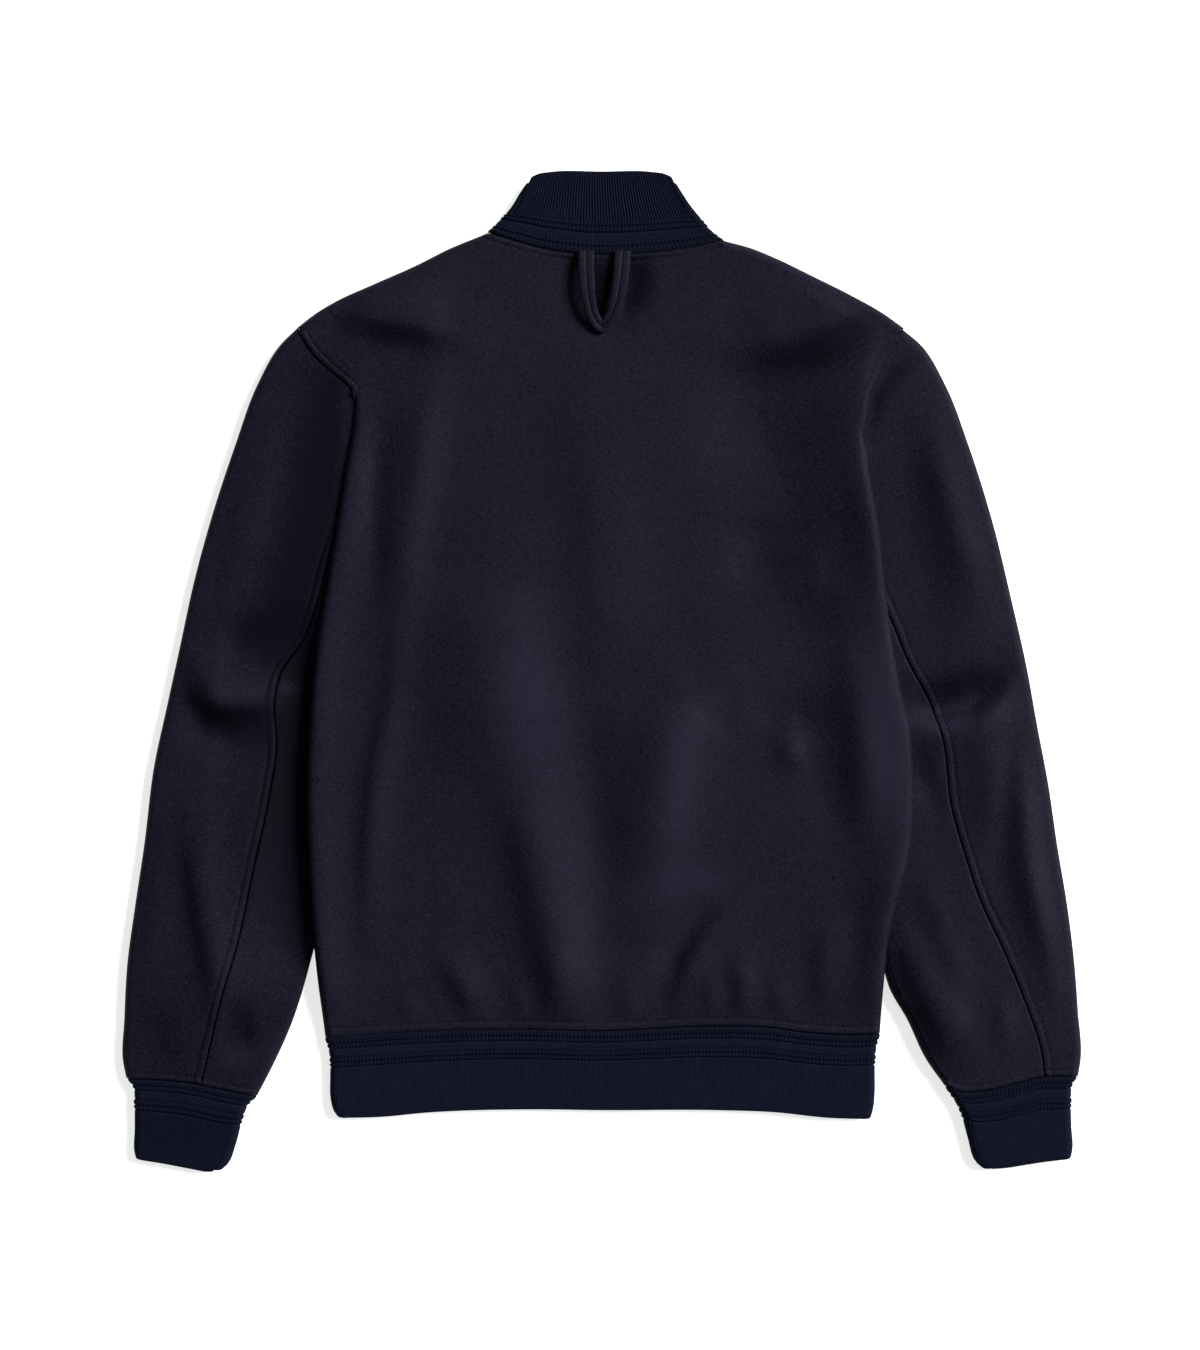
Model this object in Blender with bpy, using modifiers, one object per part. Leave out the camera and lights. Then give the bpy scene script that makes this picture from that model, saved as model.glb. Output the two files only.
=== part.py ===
"""A bomber jacket in wool melton with ribbed knit collar, cuffs and waistband, laid flat on its front.

Lengths are in millimetres up to the meshes, which are in metres. +X is the garment's right as it is
seen from behind, +Y runs from the waistband to the collar, and the surface it lies on is z = 0.
"""

import math

import bmesh
import bpy
import numpy as np

MM = 0.001
CENTRE_X = 0.145  # middle of the garment's box in the frame the outlines are drawn in
CENTRE_Y = 0.455

# Driving dimensions
CLOTH = 2.0  # wall of the melton with its seam allowances
KNIT = 3.0  # wall of the doubled rib knit
GAP = 0.3  # clearance between two pieces sewn together
SIDE_GAP = 0.8  # the same where the two edges have unlike rows: side seams and the cuffs' seams
SLEEVE_GAP = 1.6  # and at the sleeves' seams, whose walls lean towards each other
BODY_HEIGHT = 15.0  # top of the back over the surface
SHOULDER_HEIGHT = 13.8  # the most that it has along the shoulders and the neck
HEM_HEIGHT = 12.0  # the same at the waistband seam
TRIM_HEIGHT = 12.0  # top of the flattened waistband, collar and cuffs
FREE_HEIGHT = 11.0  # the same at the free edges
SIDE_RIDGE = 5.0  # how much the body's rolled side stands over its middle
RIDGE_WIDTH = 15.0
COVER_HEIGHT = 6.2  # underside of the body where a sleeve is tucked under it
TUCKED_SLEEVE = 5.4  # height of that sleeve
SEAM_SLEEVE = 12.2  # height of the sleeve where the back is sewn over it at the shoulder
SLEEVE_EDGE = 12.0  # height of a sleeve at its folds
SLEEVE_CROWN = 19.0  # and along its middle
SLEEVE_RISE = (4.0, 32.0)  # distance from the body's edge over which a sleeve comes up from under it
ROLL = 6.0  # how far a rolled side reaches in, in plan
SHOULDER_FLAP = 8.0  # the shoulder seam lies this far in on the front side
NECK_FLAP = 1.0  # and this far at the neck
HEM_FLAP = 18.0  # the side seam lies this far in at the waistband
SEAM_LAP = 4.0  # how far the back laps over the sleeve head
ARMHOLE_GAP = 3.0  # clearance along the hidden half of the armhole
FRONT_OVERLAP = 15.0  # each front passes the centre line by this much
NECK_BOTTOM = 253.4  # the fronts' neck seam and hem on the centre line
FRONT_HEM = -281.0
FREE_HEM = -343.5
CENTRE_GAP = 0.6  # from the centre line to the ends of the collar and the waistband
PLACKET_LIFT = 1.2  # the lower front stands on its stud caps
STUD_RADIUS, STUD_HEIGHT, STUD_COUNT = 7.0, 0.9, 6
STUD_MARGIN = 16.0  # from the front's corners to the outermost studs
RIB_PITCH = 1.95
RIB_DEPTH = 0.5
WAISTBAND_DEPTH, COLLAR_DEPTH, CUFF_DEPTH = 67.0, 60.0, 62.0
LOOP_HEIGHT, LOOP_ARCH, LOOP_THICKNESS = 14.5, 3.0, 2.4  # underside at its tip, rise of its legs, strip

# Cells of the panels
FOLD_ROWS, ARMHOLE_ROWS, SHOULDER_ROWS, BACK_COLUMNS = 15, 4, 5, 21
FRONT_SIDE_ROWS, FRONT_ARMHOLE_ROWS, FRONT_NECK_ROWS, FRONT_COLUMNS = 12, 8, 6, 11
SLEEVE_ROWS, OUTER_CELLS, INNER_CELLS, UNDER_CELLS = 17, 6, 4, 2
ROLL_ANGLES = np.radians([36.0, 72.0, 108.0, 144.0, 180.0])
SLEEVE_ROLL = np.radians([45.0, 90.0, 135.0])
TRIM_ROLL = np.radians([36.0, 72.0, 108.0, 144.0])

# Outlines as they lie, in plan, each a smooth curve through (x, y).
LEFT = {
    "shoulder": [
        (-235, 265.5), (-221, 276.5), (-205.6, 285.8), (-175.5, 299.5), (-143.8, 313.5), (-114.4, 327),
        (-86.6, 338.2),
    ],
    "armhole": [
        (-235, 265.5), (-225, 248.5), (-209.5, 232.3), (-192.2, 217.5), (-181, 182), (-171.5, 140),
        (-163, 101.6), (-157, 70.7), (-154, 50.6),
    ],
    "fold": [
        (-192.2, 217.5), (-191.3, 198.3), (-197.9, 154.2), (-204.1, 117.1), (-211.8, 73),
        (-221.1, 11.2), (-225.7, -37.5), (-228, -92.4), (-226.9, -138), (-224.2, -180.5),
        (-219.5, -230.7), (-213.3, -282.5),
    ],
    "sleeve_outer": [
        (-235, 265.5), (-248.1, 252.4), (-265.9, 221.5), (-282.9, 175.1), (-300.7, 121),
        (-315.4, 66.9), (-325.4, 20.5), (-335.5, -25.9), (-345.5, -72.3), (-353.3, -134.1),
        (-360.2, -180.5), (-366.4, -226.9), (-368.7, -269.4), (-369.9, -300.3), (-367.2, -314.2),
    ],
    "sleeve_inner": [
        (-154, 50.6), (-162, 16), (-177, -37.5), (-194.8, -99.3), (-209.5, -168.9), (-224.9, -224.6),
        (-229.6, -242.3), (-239.6, -273.3), (-253.5, -304.2), (-265.9, -328.1),
    ],
    "cuff_seam": [
        (-367.2, -314.2), (-316.2, -318.1), (-290.6, -323.5), (-265.9, -328.1),
    ],
    "back_seam": [
        (-177, 171.2), (-192.5, 132.6), (-209.5, 90.8), (-218.8, 55.3), (-230.4, 24.3), (-248.1, -1.9),
        (-252.8, -27.4), (-251.2, -56.8), (-255.9, -92.4), (-269, -155), (-280.6, -210.6),
        (-293, -253.9), (-308.4, -315.8),
    ],
    "cuff_outer": [
        (-364.5, -315.5), (-361.3, -322), (-361, -334), (-360.8, -355), (-361.2, -371), (-359.8, -377),
    ],
    "cuff_inner": [
        (-266.5, -328.8), (-273, -335.5), (-276.5, -344), (-282.5, -366), (-288.5, -381), (-294, -386),
    ],
    "cuff_free": [
        (-359.8, -377), (-338.6, -380.3), (-316, -384.6), (-304.6, -386.6), (-294, -386),
    ],
    "covered_to": -225.0,
}
RIGHT = {
    "shoulder": [
        (233.4, 264.5), (216.4, 276.3), (191.7, 290.3), (165.4, 304.2), (136.8, 318.1), (113.6, 326.6),
        (93.5, 331.2),
    ],
    "armhole": [
        (233.4, 264.5), (230.2, 257.8), (220.3, 240.8), (211.5, 223.8), (205.6, 207.6), (203, 190.5),
        (194.5, 155.8), (185, 118), (177, 84), (172, 49.9),
    ],
    "fold": [
        (203, 190.5), (206.4, 157.3), (214.5, 110), (220.3, 55.3), (229.5, -6.6), (237.4, -42),
        (240.4, -85.4), (236.5, -144.2), (228, -176.6), (221.9, -206), (218, -242.3), (215.7, -279.5),
    ],
    "sleeve_outer": [
        (233.4, 264.5), (246.6, 252.4), (265.1, 221.5), (282.9, 175.1), (302.2, 113.2), (316.2, 55.3),
        (327.8, 5), (336.3, -41.4), (344.8, -87.7), (351.7, -134.1), (359.4, -180.5), (365.2, -226.9),
        (367.9, -261.7), (370.7, -300.3), (369.1, -312.7),
    ],
    "sleeve_inner": [
        (172, 49.9), (178.5, 12), (189, -37.5), (201, -99.3), (212.6, -168.9), (217.2, -223),
        (223, -244.7), (236.5, -268.6), (251.2, -299.5), (265.9, -320.4),
    ],
    "cuff_seam": [
        (369.1, -312.7), (338.6, -313.5), (317.7, -318.9), (296.8, -323.5), (276, -324.3),
        (265.9, -320.4),
    ],
    "back_seam": [
        (201, 150), (215.7, 86.2), (228, 39), (236, 8.9), (255.9, -29), (262.8, -51.4),
        (270.6, -107.1), (279.8, -139.5), (292.2, -176.6), (309.2, -213), (327, -255.5),
        (340.1, -294.9), (342.4, -313.5),
    ],
    "cuff_outer": [
        (366.5, -314), (364.2, -320.5), (363.8, -331), (364, -352), (364.8, -369), (363, -375.5),
    ],
    "cuff_inner": [
        (266.8, -321.5), (271.7, -329), (277.5, -339.5), (283.5, -360), (290, -379.5), (296, -384.8),
    ],
    "cuff_free": [
        (363, -375.5), (343, -378.6), (330.1, -381), (313.8, -383.6), (296, -384.8),
    ],
    "covered_to": -242.0,
}
BACK_NECK = [
    (-86.6, 338.2), (-67, 332), (-47.2, 326.5), (-20.1, 322.4), (0.8, 321.4), (24, 322.3), (61.1, 326),
    (93.5, 331.2),
]
BACK_HEM = [
    (-213.3, -282.5), (-155.4, -278.7), (-70.3, -276), (-0.8, -277.5), (81.9, -274), (125.2, -274.5),
    (161.6, -279), (198.7, -280.6), (215.7, -279.5),
]

NECK_CURVE = [(66, 38), (36, 12), (8, 0), (CENTRE_GAP, 0)]  # a front's neck seam over its bottom
WAISTBAND_LEFT = [
    (-213.3, -282.8), (-211.2, -290), (-209.6, -300.3), (-209.6, -315.8), (-209.2, -331),
    (-206, -341.5), (-203, -345),
]
WAISTBAND_RIGHT = [
    (215.7, -279.8), (213.4, -289), (212.2, -300.3), (211.8, -327.4), (210.8, -338), (208.5, -346),
]
WAISTBAND_FREE = [
    (-203, -345), (-170, -344.2), (-136, -341), (-47.2, -338.4), (-0.8, -339), (88.1, -339),
    (132.2, -340.5), (177, -345), (208.5, -346),
]
COLLAR_LEFT = [
    (-86.2, 338.8), (-81.5, 344.5), (-75.5, 349.8), (-68, 359.8), (-61.5, 370.5), (-54.5, 380),
]
COLLAR_RIGHT = [
    (93.2, 331.8), (86.5, 337.5), (81.5, 342), (75.5, 350.2), (68, 359.8), (60.5, 371.5), (54, 380),
]
COLLAR_FREE = [
    (-54.5, 380), (-50, 383.2), (-40, 385.6), (0.8, 386.2), (39.4, 385.7), (49, 383.4), (54, 380),
]
COLLAR_FRONT = [(46.0, 372.0), (44.0, 345.0), (26.0, 318.0), (CENTRE_GAP, 308.4)]  # its hidden free edge
LOOP_MIDDLE = [
    (-11.4, 324.2), (-11.0, 303), (-9.2, 286), (-5.2, 272.5), (0.8, 265.5), (6.8, 272.5), (12.0, 286),
    (15.0, 303), (16.8, 324.2),
]
LOOP_SECTION = [  # shares of the half width and of the thickness, with a stitched groove down the middle
    (-1.0, 0.2), (-1.0, 0.8), (-0.85, 1.0), (-0.12, 1.0), (0.0, 0.75), (0.12, 1.0), (0.85, 1.0),
    (1.0, 0.8), (1.0, 0.2), (0.85, 0.0), (-0.85, 0.0),
]

# What the two welts and the rib of every knit trim do to its outer face, from the seam outwards.
WELTS = [  # (distance from the seam, height raised)
    (0.0, 0.0), (1.4, 0.9), (6.6, 0.9), (8.4, -0.3), (10.8, 0.1), (13.8, 0.1), (15.2, 0.9), (20.4, 0.9),
    (22.6, -0.2),
]

# The largest folds of the upper side, as soft ridges (height > 0) and troughs between two ends.
FOLDS = [  # (x1, y1, x2, y2, half width, height)
    (-172, 225, -168, 80, 11, -2.6),  # trough inside the left side
    (-168, 80, -172, -190, 7, -2.0),
    (-194, 268, -120, 252, 9, -2.8),  # crease below the left shoulder
    (-125, 230, -136, 130, 9, 2.0),  # ridge beside the trough
    (-136, 130, -152, 10, 9, 1.8),
    (-152, 10, -163, -95, 8, 1.4),
    (108, 262, 205, 268, 26, -2.6),  # hollow under the right shoulder
    (150, 240, 152, 70, 22, -2.0),
    (-60, 15, -40, -90, 26, 2.2),  # swells down the middle of the back
    (-42, -110, -18, -235, 24, 2.2),
    (66, -25, 50, -150, 22, 2.4),
    (12, 20, 8, -170, 16, -1.6),
    (-92, -60, -62, -210, 20, -1.4),
    (146, -52, 146, -54, 13, 2.2),
    (110, -90, 170, -120, 16, -1.4),
    (100, -190, 60, -240, 8, -1.6),  # drags above the waistband
    (-108, -240, -88, -272, 8, 1.6),
    (-50, -225, -42, -268, 9, -1.6),
    (-20, -240, -14, -272, 9, 1.4),
    (-316, 10, -292, -28, 9, -3.2),  # elbow of the left sleeve
    (-292, -28, -240, -34, 10, -3.6),
    (-300, 32, -258, 8, 12, 1.8),
    (-286, -90, -292, -230, 12, -2.4),
    (-330, -60, -338, -220, 13, 1.6),
    (246, -2, 300, 0, 13, -3.0),  # elbow of the right sleeve
    (250, -50, 312, -14, 9, 3.0),
    (318, -60, 330, -210, 12, -3.0),
    (302, -60, 312, -180, 11, 1.8),
    (262, 170, 296, 50, 14, -2.4),
]

COLOURS = {  # base colour, linear
    "melton": (0.0126, 0.0121, 0.0219),
    "rib_knit": (0.0058, 0.0078, 0.0166),
    "stud": (0.020, 0.021, 0.026),
}
ROUGHNESS = {"melton": 0.95, "rib_knit": 0.9, "stud": 0.4}


def smooth(value, low, high):
    """0 up to low, 1 from high, and a smooth step between."""
    share = np.clip((np.asarray(value, float) - low) / (high - low), 0.0, 1.0)
    return share * share * (3.0 - 2.0 * share)


def mix(first, second, share):
    return first + (second - first) * share


def dense(points, per_span=24):
    """A smooth curve through the points, as many short chords."""
    points = np.array(points, float)
    chord = np.linalg.norm(np.diff(points, axis=0), axis=1)
    slope = np.diff(points, axis=0) / chord[:, None]
    inner = slope[:-1] * chord[1:, None] + slope[1:] * chord[:-1, None]
    inner = inner / (chord[1:] + chord[:-1])[:, None]
    tangent = np.vstack([slope[:1], inner, slope[-1:]])
    u = np.linspace(0.0, 1.0, per_span, endpoint=False)[:, None]
    spans = []
    for i, length in enumerate(chord):
        spans.append(
            (2 * u**3 - 3 * u**2 + 1) * points[i]
            + (u**3 - 2 * u**2 + u) * length * tangent[i]
            + (3 * u**2 - 2 * u**3) * points[i + 1]
            + (u**3 - u**2) * length * tangent[i + 1]
        )
    return np.vstack(spans + [points[-1:]])


def at_shares(line, shares):
    """Points of a chain of chords at these shares of its length."""
    steps = np.linalg.norm(np.diff(line, axis=0), axis=1)
    run = np.concatenate([[0.0], np.cumsum(steps)])
    wanted = np.asarray(shares) * run[-1]
    return np.stack([np.interp(wanted, run, line[:, axis]) for axis in range(line.shape[1])], axis=1)


def even(line, cells):
    """The ends of this many equal stretches of a line."""
    return at_shares(line, np.linspace(0.0, 1.0, cells + 1))


def part_of(line, start, end):
    """The stretch of a line from the place nearest to start to that nearest to end."""
    first = np.argmin(np.linalg.norm(line - start, axis=1))
    last = np.argmin(np.linalg.norm(line - end, axis=1))
    between = line[min(first, last) + 1 : max(first, last)]
    return np.vstack([[start], between if first <= last else between[::-1], [end]])


def stretched(line, start, end):
    """The line with its ends moved to start and end."""
    share = np.linspace(0.0, 1.0, len(line))[:, None]
    return line + (start - line[0]) * (1 - share) + (end - line[-1]) * share


def unit(vectors):
    return vectors / np.linalg.norm(vectors, axis=-1, keepdims=True)


def square_to(line, sign):
    """Unit vectors square to a line that runs down the garment, pointing to +X where sign is positive."""
    along = unit(np.gradient(line, axis=0))
    return np.stack([-along[:, 1], along[:, 0]], axis=1) * sign


def patch(low, high, left, right):
    """Plan points between four edges: low and high run left to right, left and right low to high."""
    u = np.linspace(0.0, 1.0, len(low))[None, :, None]
    v = np.linspace(0.0, 1.0, len(left))[:, None, None]
    ruled = (1 - v) * low[None] + v * high[None] + (1 - u) * left[:, None] + u * right[:, None]
    at_low = (1 - u) * low[0] + u * low[-1]
    at_high = (1 - u) * high[0] + u * high[-1]
    return ruled - (1 - v) * at_low - v * at_high


def x_of(line, y):
    """x of a line that runs down the garment, at this y."""
    return np.interp(-np.asarray(y), -line[:, 1], line[:, 0])


def y_of(line, x):
    return np.interp(x, line[:, 0], line[:, 1])


HEM_LINE = dense(BACK_HEM)
NECK_LINE = dense(BACK_NECK)

for outlines, direction in ((LEFT, -1.0), (RIGHT, 1.0)):
    outlines["sign"] = direction
    outlines["turn"] = outlines["fold"][0][1]  # where the armhole goes under the body's rolled side
    outlines["armpit"] = np.array(outlines["armhole"][-1], float)
    outlines["armhole_line"] = dense(outlines["armhole"])
    outlines["fold_line"] = dense(outlines["fold"])
    outlines["inner_line"] = dense(outlines["sleeve_inner"])
    # The body's visible edge over the sleeve, from the shoulder to the waistband.
    at_turn = np.array(outlines["fold"][0], float)
    seen = part_of(outlines["armhole_line"], outlines["armhole_line"][0], at_turn)
    outlines["cover"] = np.vstack([seen, outlines["fold_line"][1:]])


def relief(x, y):
    """Height that the folds add at a place of the upper side."""
    total = np.zeros(np.broadcast(x, y).shape)
    for x1, y1, x2, y2, width, height in FOLDS:
        run = np.array([x2 - x1, y2 - y1], float)
        along = np.clip(((x - x1) * run[0] + (y - y1) * run[1]) / run.dot(run), 0.0, 1.0)
        away = np.hypot(x - x1 - along * run[0], y - y1 - along * run[1])
        total = total + height * np.exp(-((away / width) ** 2))
    return total


def covers(side, y):
    """1 where the body lies on the sleeve, 0 below, where the sleeve has come out from under it."""
    return smooth(y, side["covered_to"] - 50.0, side["covered_to"] + 10.0)


def body_top(x, y):
    height = BODY_HEIGHT + relief(x, y)
    for side in (LEFT, RIGHT):
        inwards = (x_of(side["cover"], y) - x) * side["sign"]
        ridge = SIDE_RIDGE * np.exp(-(((inwards - ROLL) / RIDGE_WIDTH) ** 2))
        height = height + ridge * smooth(side["turn"] - y, -10.0, 70.0)
    near_hem = 1.0 - smooth(y - y_of(HEM_LINE, x), 0.0, 45.0)
    near_neck = 1.0 - smooth(y_of(NECK_LINE, x) - y, 0.0, 30.0)
    near_shoulder = smooth(y, 235.0, 275.0)
    height = mix(height, HEM_HEIGHT, near_hem)
    return mix(height, np.minimum(height, SHOULDER_HEIGHT), np.maximum(near_neck, near_shoulder))


def neck_start(side):
    """The shoulder's end at the neck, and the way in along the neck seam from there."""
    neck = NECK_LINE if side["sign"] < 0 else NECK_LINE[::-1]
    return neck[0], unit(neck[1] - neck[0])


def back_edge(side):
    """The back's rolled edge from the hem to the neck, a point for each row of the panel, with the way
    in, the share of the roll, the length of the flap beyond it and the height of the panel's underside."""
    last_fold, tip = FOLD_ROWS, FOLD_ROWS + ARMHOLE_ROWS
    armhole = side["armhole_line"]
    seen = part_of(armhole, side["fold_line"][0], armhole[0])
    closer = 1.0 - (1.0 - np.linspace(0, 1, FOLD_ROWS + 1)) ** 1.4
    line = np.vstack([
        at_shares(side["fold_line"][::-1], closer),
        even(seen, ARMHOLE_ROWS)[1:],
        even(dense(side["shoulder"]), SHOULDER_ROWS)[1:],
    ])
    along = unit(np.gradient(line, axis=0))
    inwards = np.stack([along[:, 1], -along[:, 0]], axis=1) * -side["sign"]
    inwards[0] = -side["sign"], 0.0
    inwards[-1] = neck_start(side)[1]
    inwards[-2] = unit(inwards[-1] + inwards[-3])

    y = line[:, 1]
    wrapped = np.ones(len(line))  # none along the shoulder seam's lap, full down the side
    wrapped[:last_fold] = smooth(side["turn"] - y[:last_fold], 0.0, 26.0)
    wrapped[last_fold:tip] = 0.0
    flap = np.full(len(line), SHOULDER_FLAP)
    flap[-2:] = SHOULDER_FLAP / 2.0, NECK_FLAP
    armpit_x, armpit_y = side["armpit"]
    at_armpit = (x_of(side["fold_line"], armpit_y) - armpit_x) * side["sign"] - ROLL
    to_armhole = (line[:, 0] - x_of(armhole, y)) * side["sign"] - ROLL
    side_seam = np.where(y > armpit_y, to_armhole, mix(HEM_FLAP, at_armpit, smooth(y, FRONT_HEM, armpit_y)))
    flap[: last_fold + 1] = np.maximum(side_seam, 0.0)[: last_fold + 1]
    low = COVER_HEIGHT * covers(side, y) * smooth(side["turn"] - y, -1.0, 0.0)
    low[last_fold + 1 :] = 0.0
    return line, inwards, wrapped, flap, low


def roll_columns(side):
    """The line where the panel starts to roll, and the columns from there out to its hidden edge."""
    line, inwards, wrapped, flap, low = back_edge(side)
    inset = line + inwards * ROLL
    top = body_top(inset[:, 0], inset[:, 1])
    radius = (top - low) / 2.0
    columns = []
    steps = len(ROLL_ANGLES) + 2
    for k in range(steps):
        if k < len(ROLL_ANGLES):
            out = np.full(len(line), ROLL * math.sin(ROLL_ANGLES[k]))
            drop = radius * (1.0 - math.cos(ROLL_ANGLES[k]))
        else:
            out = -flap * (k - len(ROLL_ANGLES) + 1) / 2.0
            drop = 2.0 * radius
        straight = ROLL * (k + 1) / steps
        plan = inset - inwards * mix(straight, out, wrapped)[:, None]
        columns.append(np.column_stack([plan, top - drop * wrapped]))
    return inset, columns


def back_panel():
    left_inset, left_roll = roll_columns(LEFT)
    right_inset, right_roll = roll_columns(RIGHT)
    low_x = np.linspace(left_inset[0, 0], right_inset[0, 0], BACK_COLUMNS)
    low = np.stack([low_x, y_of(HEM_LINE, low_x)], axis=1)
    high = even(part_of(NECK_LINE, left_inset[-1], right_inset[-1]), BACK_COLUMNS - 1)
    plan = patch(low, high, left_inset, right_inset)
    middle = np.dstack([plan, body_top(plan[..., 0], plan[..., 1])])
    grid = np.concatenate([np.stack(left_roll[::-1], axis=1), middle, np.stack(right_roll, axis=1)], axis=1)
    grid[0, :, 1] += GAP / 2
    grid[-1, :, 1] -= GAP / 2
    return grid


def front_under(side, x, y):
    """Height of a front's outer face: flat on the surface, over the tucked sleeve, and at the placket."""
    inwards = (x_of(side["inner_line"], y) - x) * side["sign"]
    below_armpit = 1.0 - smooth(y - side["armpit"][1], 2.0, 24.0)
    raised = COVER_HEIGHT * covers(side, y) * below_armpit * (1.0 - smooth(inwards, 3.0, 19.0))
    across = x * side["sign"]
    if side["sign"] < 0:
        placket = PLACKET_LIFT * (1.0 - smooth(across, 18.0, 34.0))
    else:
        placket = (PLACKET_LIFT + CLOTH + GAP) * (1.0 - smooth(across, 30.0, 55.0))
    return np.maximum(raised, placket)


def neckline(side):
    """The front's neck seam in plan, from its corner at the shoulder to the centre line."""
    start, way = neck_start(side)
    corner = start + way * (ROLL + NECK_FLAP + SIDE_GAP)
    curve = [(side["sign"] * x, NECK_BOTTOM + y) for x, y in NECK_CURVE]
    return even(dense([corner, *curve]), FRONT_NECK_ROWS)


def front_panel(side):
    line, inwards, _, flap, _ = back_edge(side)
    ends = line + inwards * (ROLL + flap + SIDE_GAP)[:, None]
    neck = neckline(side)
    shoulder = ends[FOLD_ROWS + ARMHOLE_ROWS :]
    shoulder[-1] = neck[0]
    armpit = side["armpit"] - np.array([side["sign"] * ARMHOLE_GAP, 0.0])
    below = line[: FOLD_ROWS + 1, 1] < armpit[1] - 12.0
    side_seam = np.vstack([ends[: FOLD_ROWS + 1][below], [armpit]])
    side_seam[0, 1] = side["fold"][-1][1]
    hidden = part_of(side["armhole_line"], side["armpit"], shoulder[0] - np.array([0.0, 6.0]))
    way = unit(np.gradient(hidden, axis=0))
    hidden = hidden - np.stack([way[:, 1], -way[:, 0]], axis=1) * GAP * side["sign"]
    hidden[0] = armpit
    hidden[-1] = shoulder[0]
    outer = np.vstack([even(side_seam, FRONT_SIDE_ROWS), even(hidden, FRONT_ARMHOLE_ROWS)[1:]])
    past_centre = -side["sign"] * FRONT_OVERLAP
    centre_rows = len(outer) - len(neck)
    centre = np.linspace((past_centre, FRONT_HEM), (past_centre, NECK_BOTTOM), centre_rows)
    inner = np.vstack([centre, neck[::-1]])
    across = np.linspace(0, 1, FRONT_COLUMNS)
    plan = mix(outer[:, None], inner[:, None], across[None, :, None])
    plan[-1] = at_shares(shoulder, across)
    grid = np.dstack([plan, front_under(side, plan[..., 0], plan[..., 1])])
    grid[0, :, 1] += GAP
    return grid


def sleeve_top(side, x, y, across, down):
    """Height of a sleeve's upper side. across runs from 0 at its outer fold to 1, down from 0 to the cuff."""
    crown = np.sin(math.pi * np.clip(across, 0.0, 1.0)) ** 0.8
    height = mix(SLEEVE_EDGE, SLEEVE_CROWN, crown) + relief(x, y) * smooth(crown, 0.15, 0.6)
    height = mix(height, TRIM_HEIGHT, smooth(down, 0.88, 1.0))
    covered = mix(SEAM_SLEEVE, TUCKED_SLEEVE, smooth(side["turn"] - y, -14.0, 14.0))
    outwards = (x - x_of(side["cover"], y)) * side["sign"]
    near = (1.0 - smooth(outwards, *SLEEVE_RISE)) * smooth(y - side["covered_to"], -40.0, 12.0)
    return mix(height, covered, near)


def along_row(row, shares):
    """Plan points of one fine row of a sleeve at these shares from its outer fold."""
    spots = np.linspace(0.0, 1.0, len(row))
    return np.stack([np.interp(shares, spots, row[:, axis]) for axis in (0, 1)], axis=1)


def fold_points(top, way, radius):
    """The roll at a sleeve's fold, from its upper side to its lower one."""
    return [[*(top[:2] - way * radius * math.sin(angle)), top[2] / 2.0 * (1.0 + math.cos(angle))]
            for angle in SLEEVE_ROLL]


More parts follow.
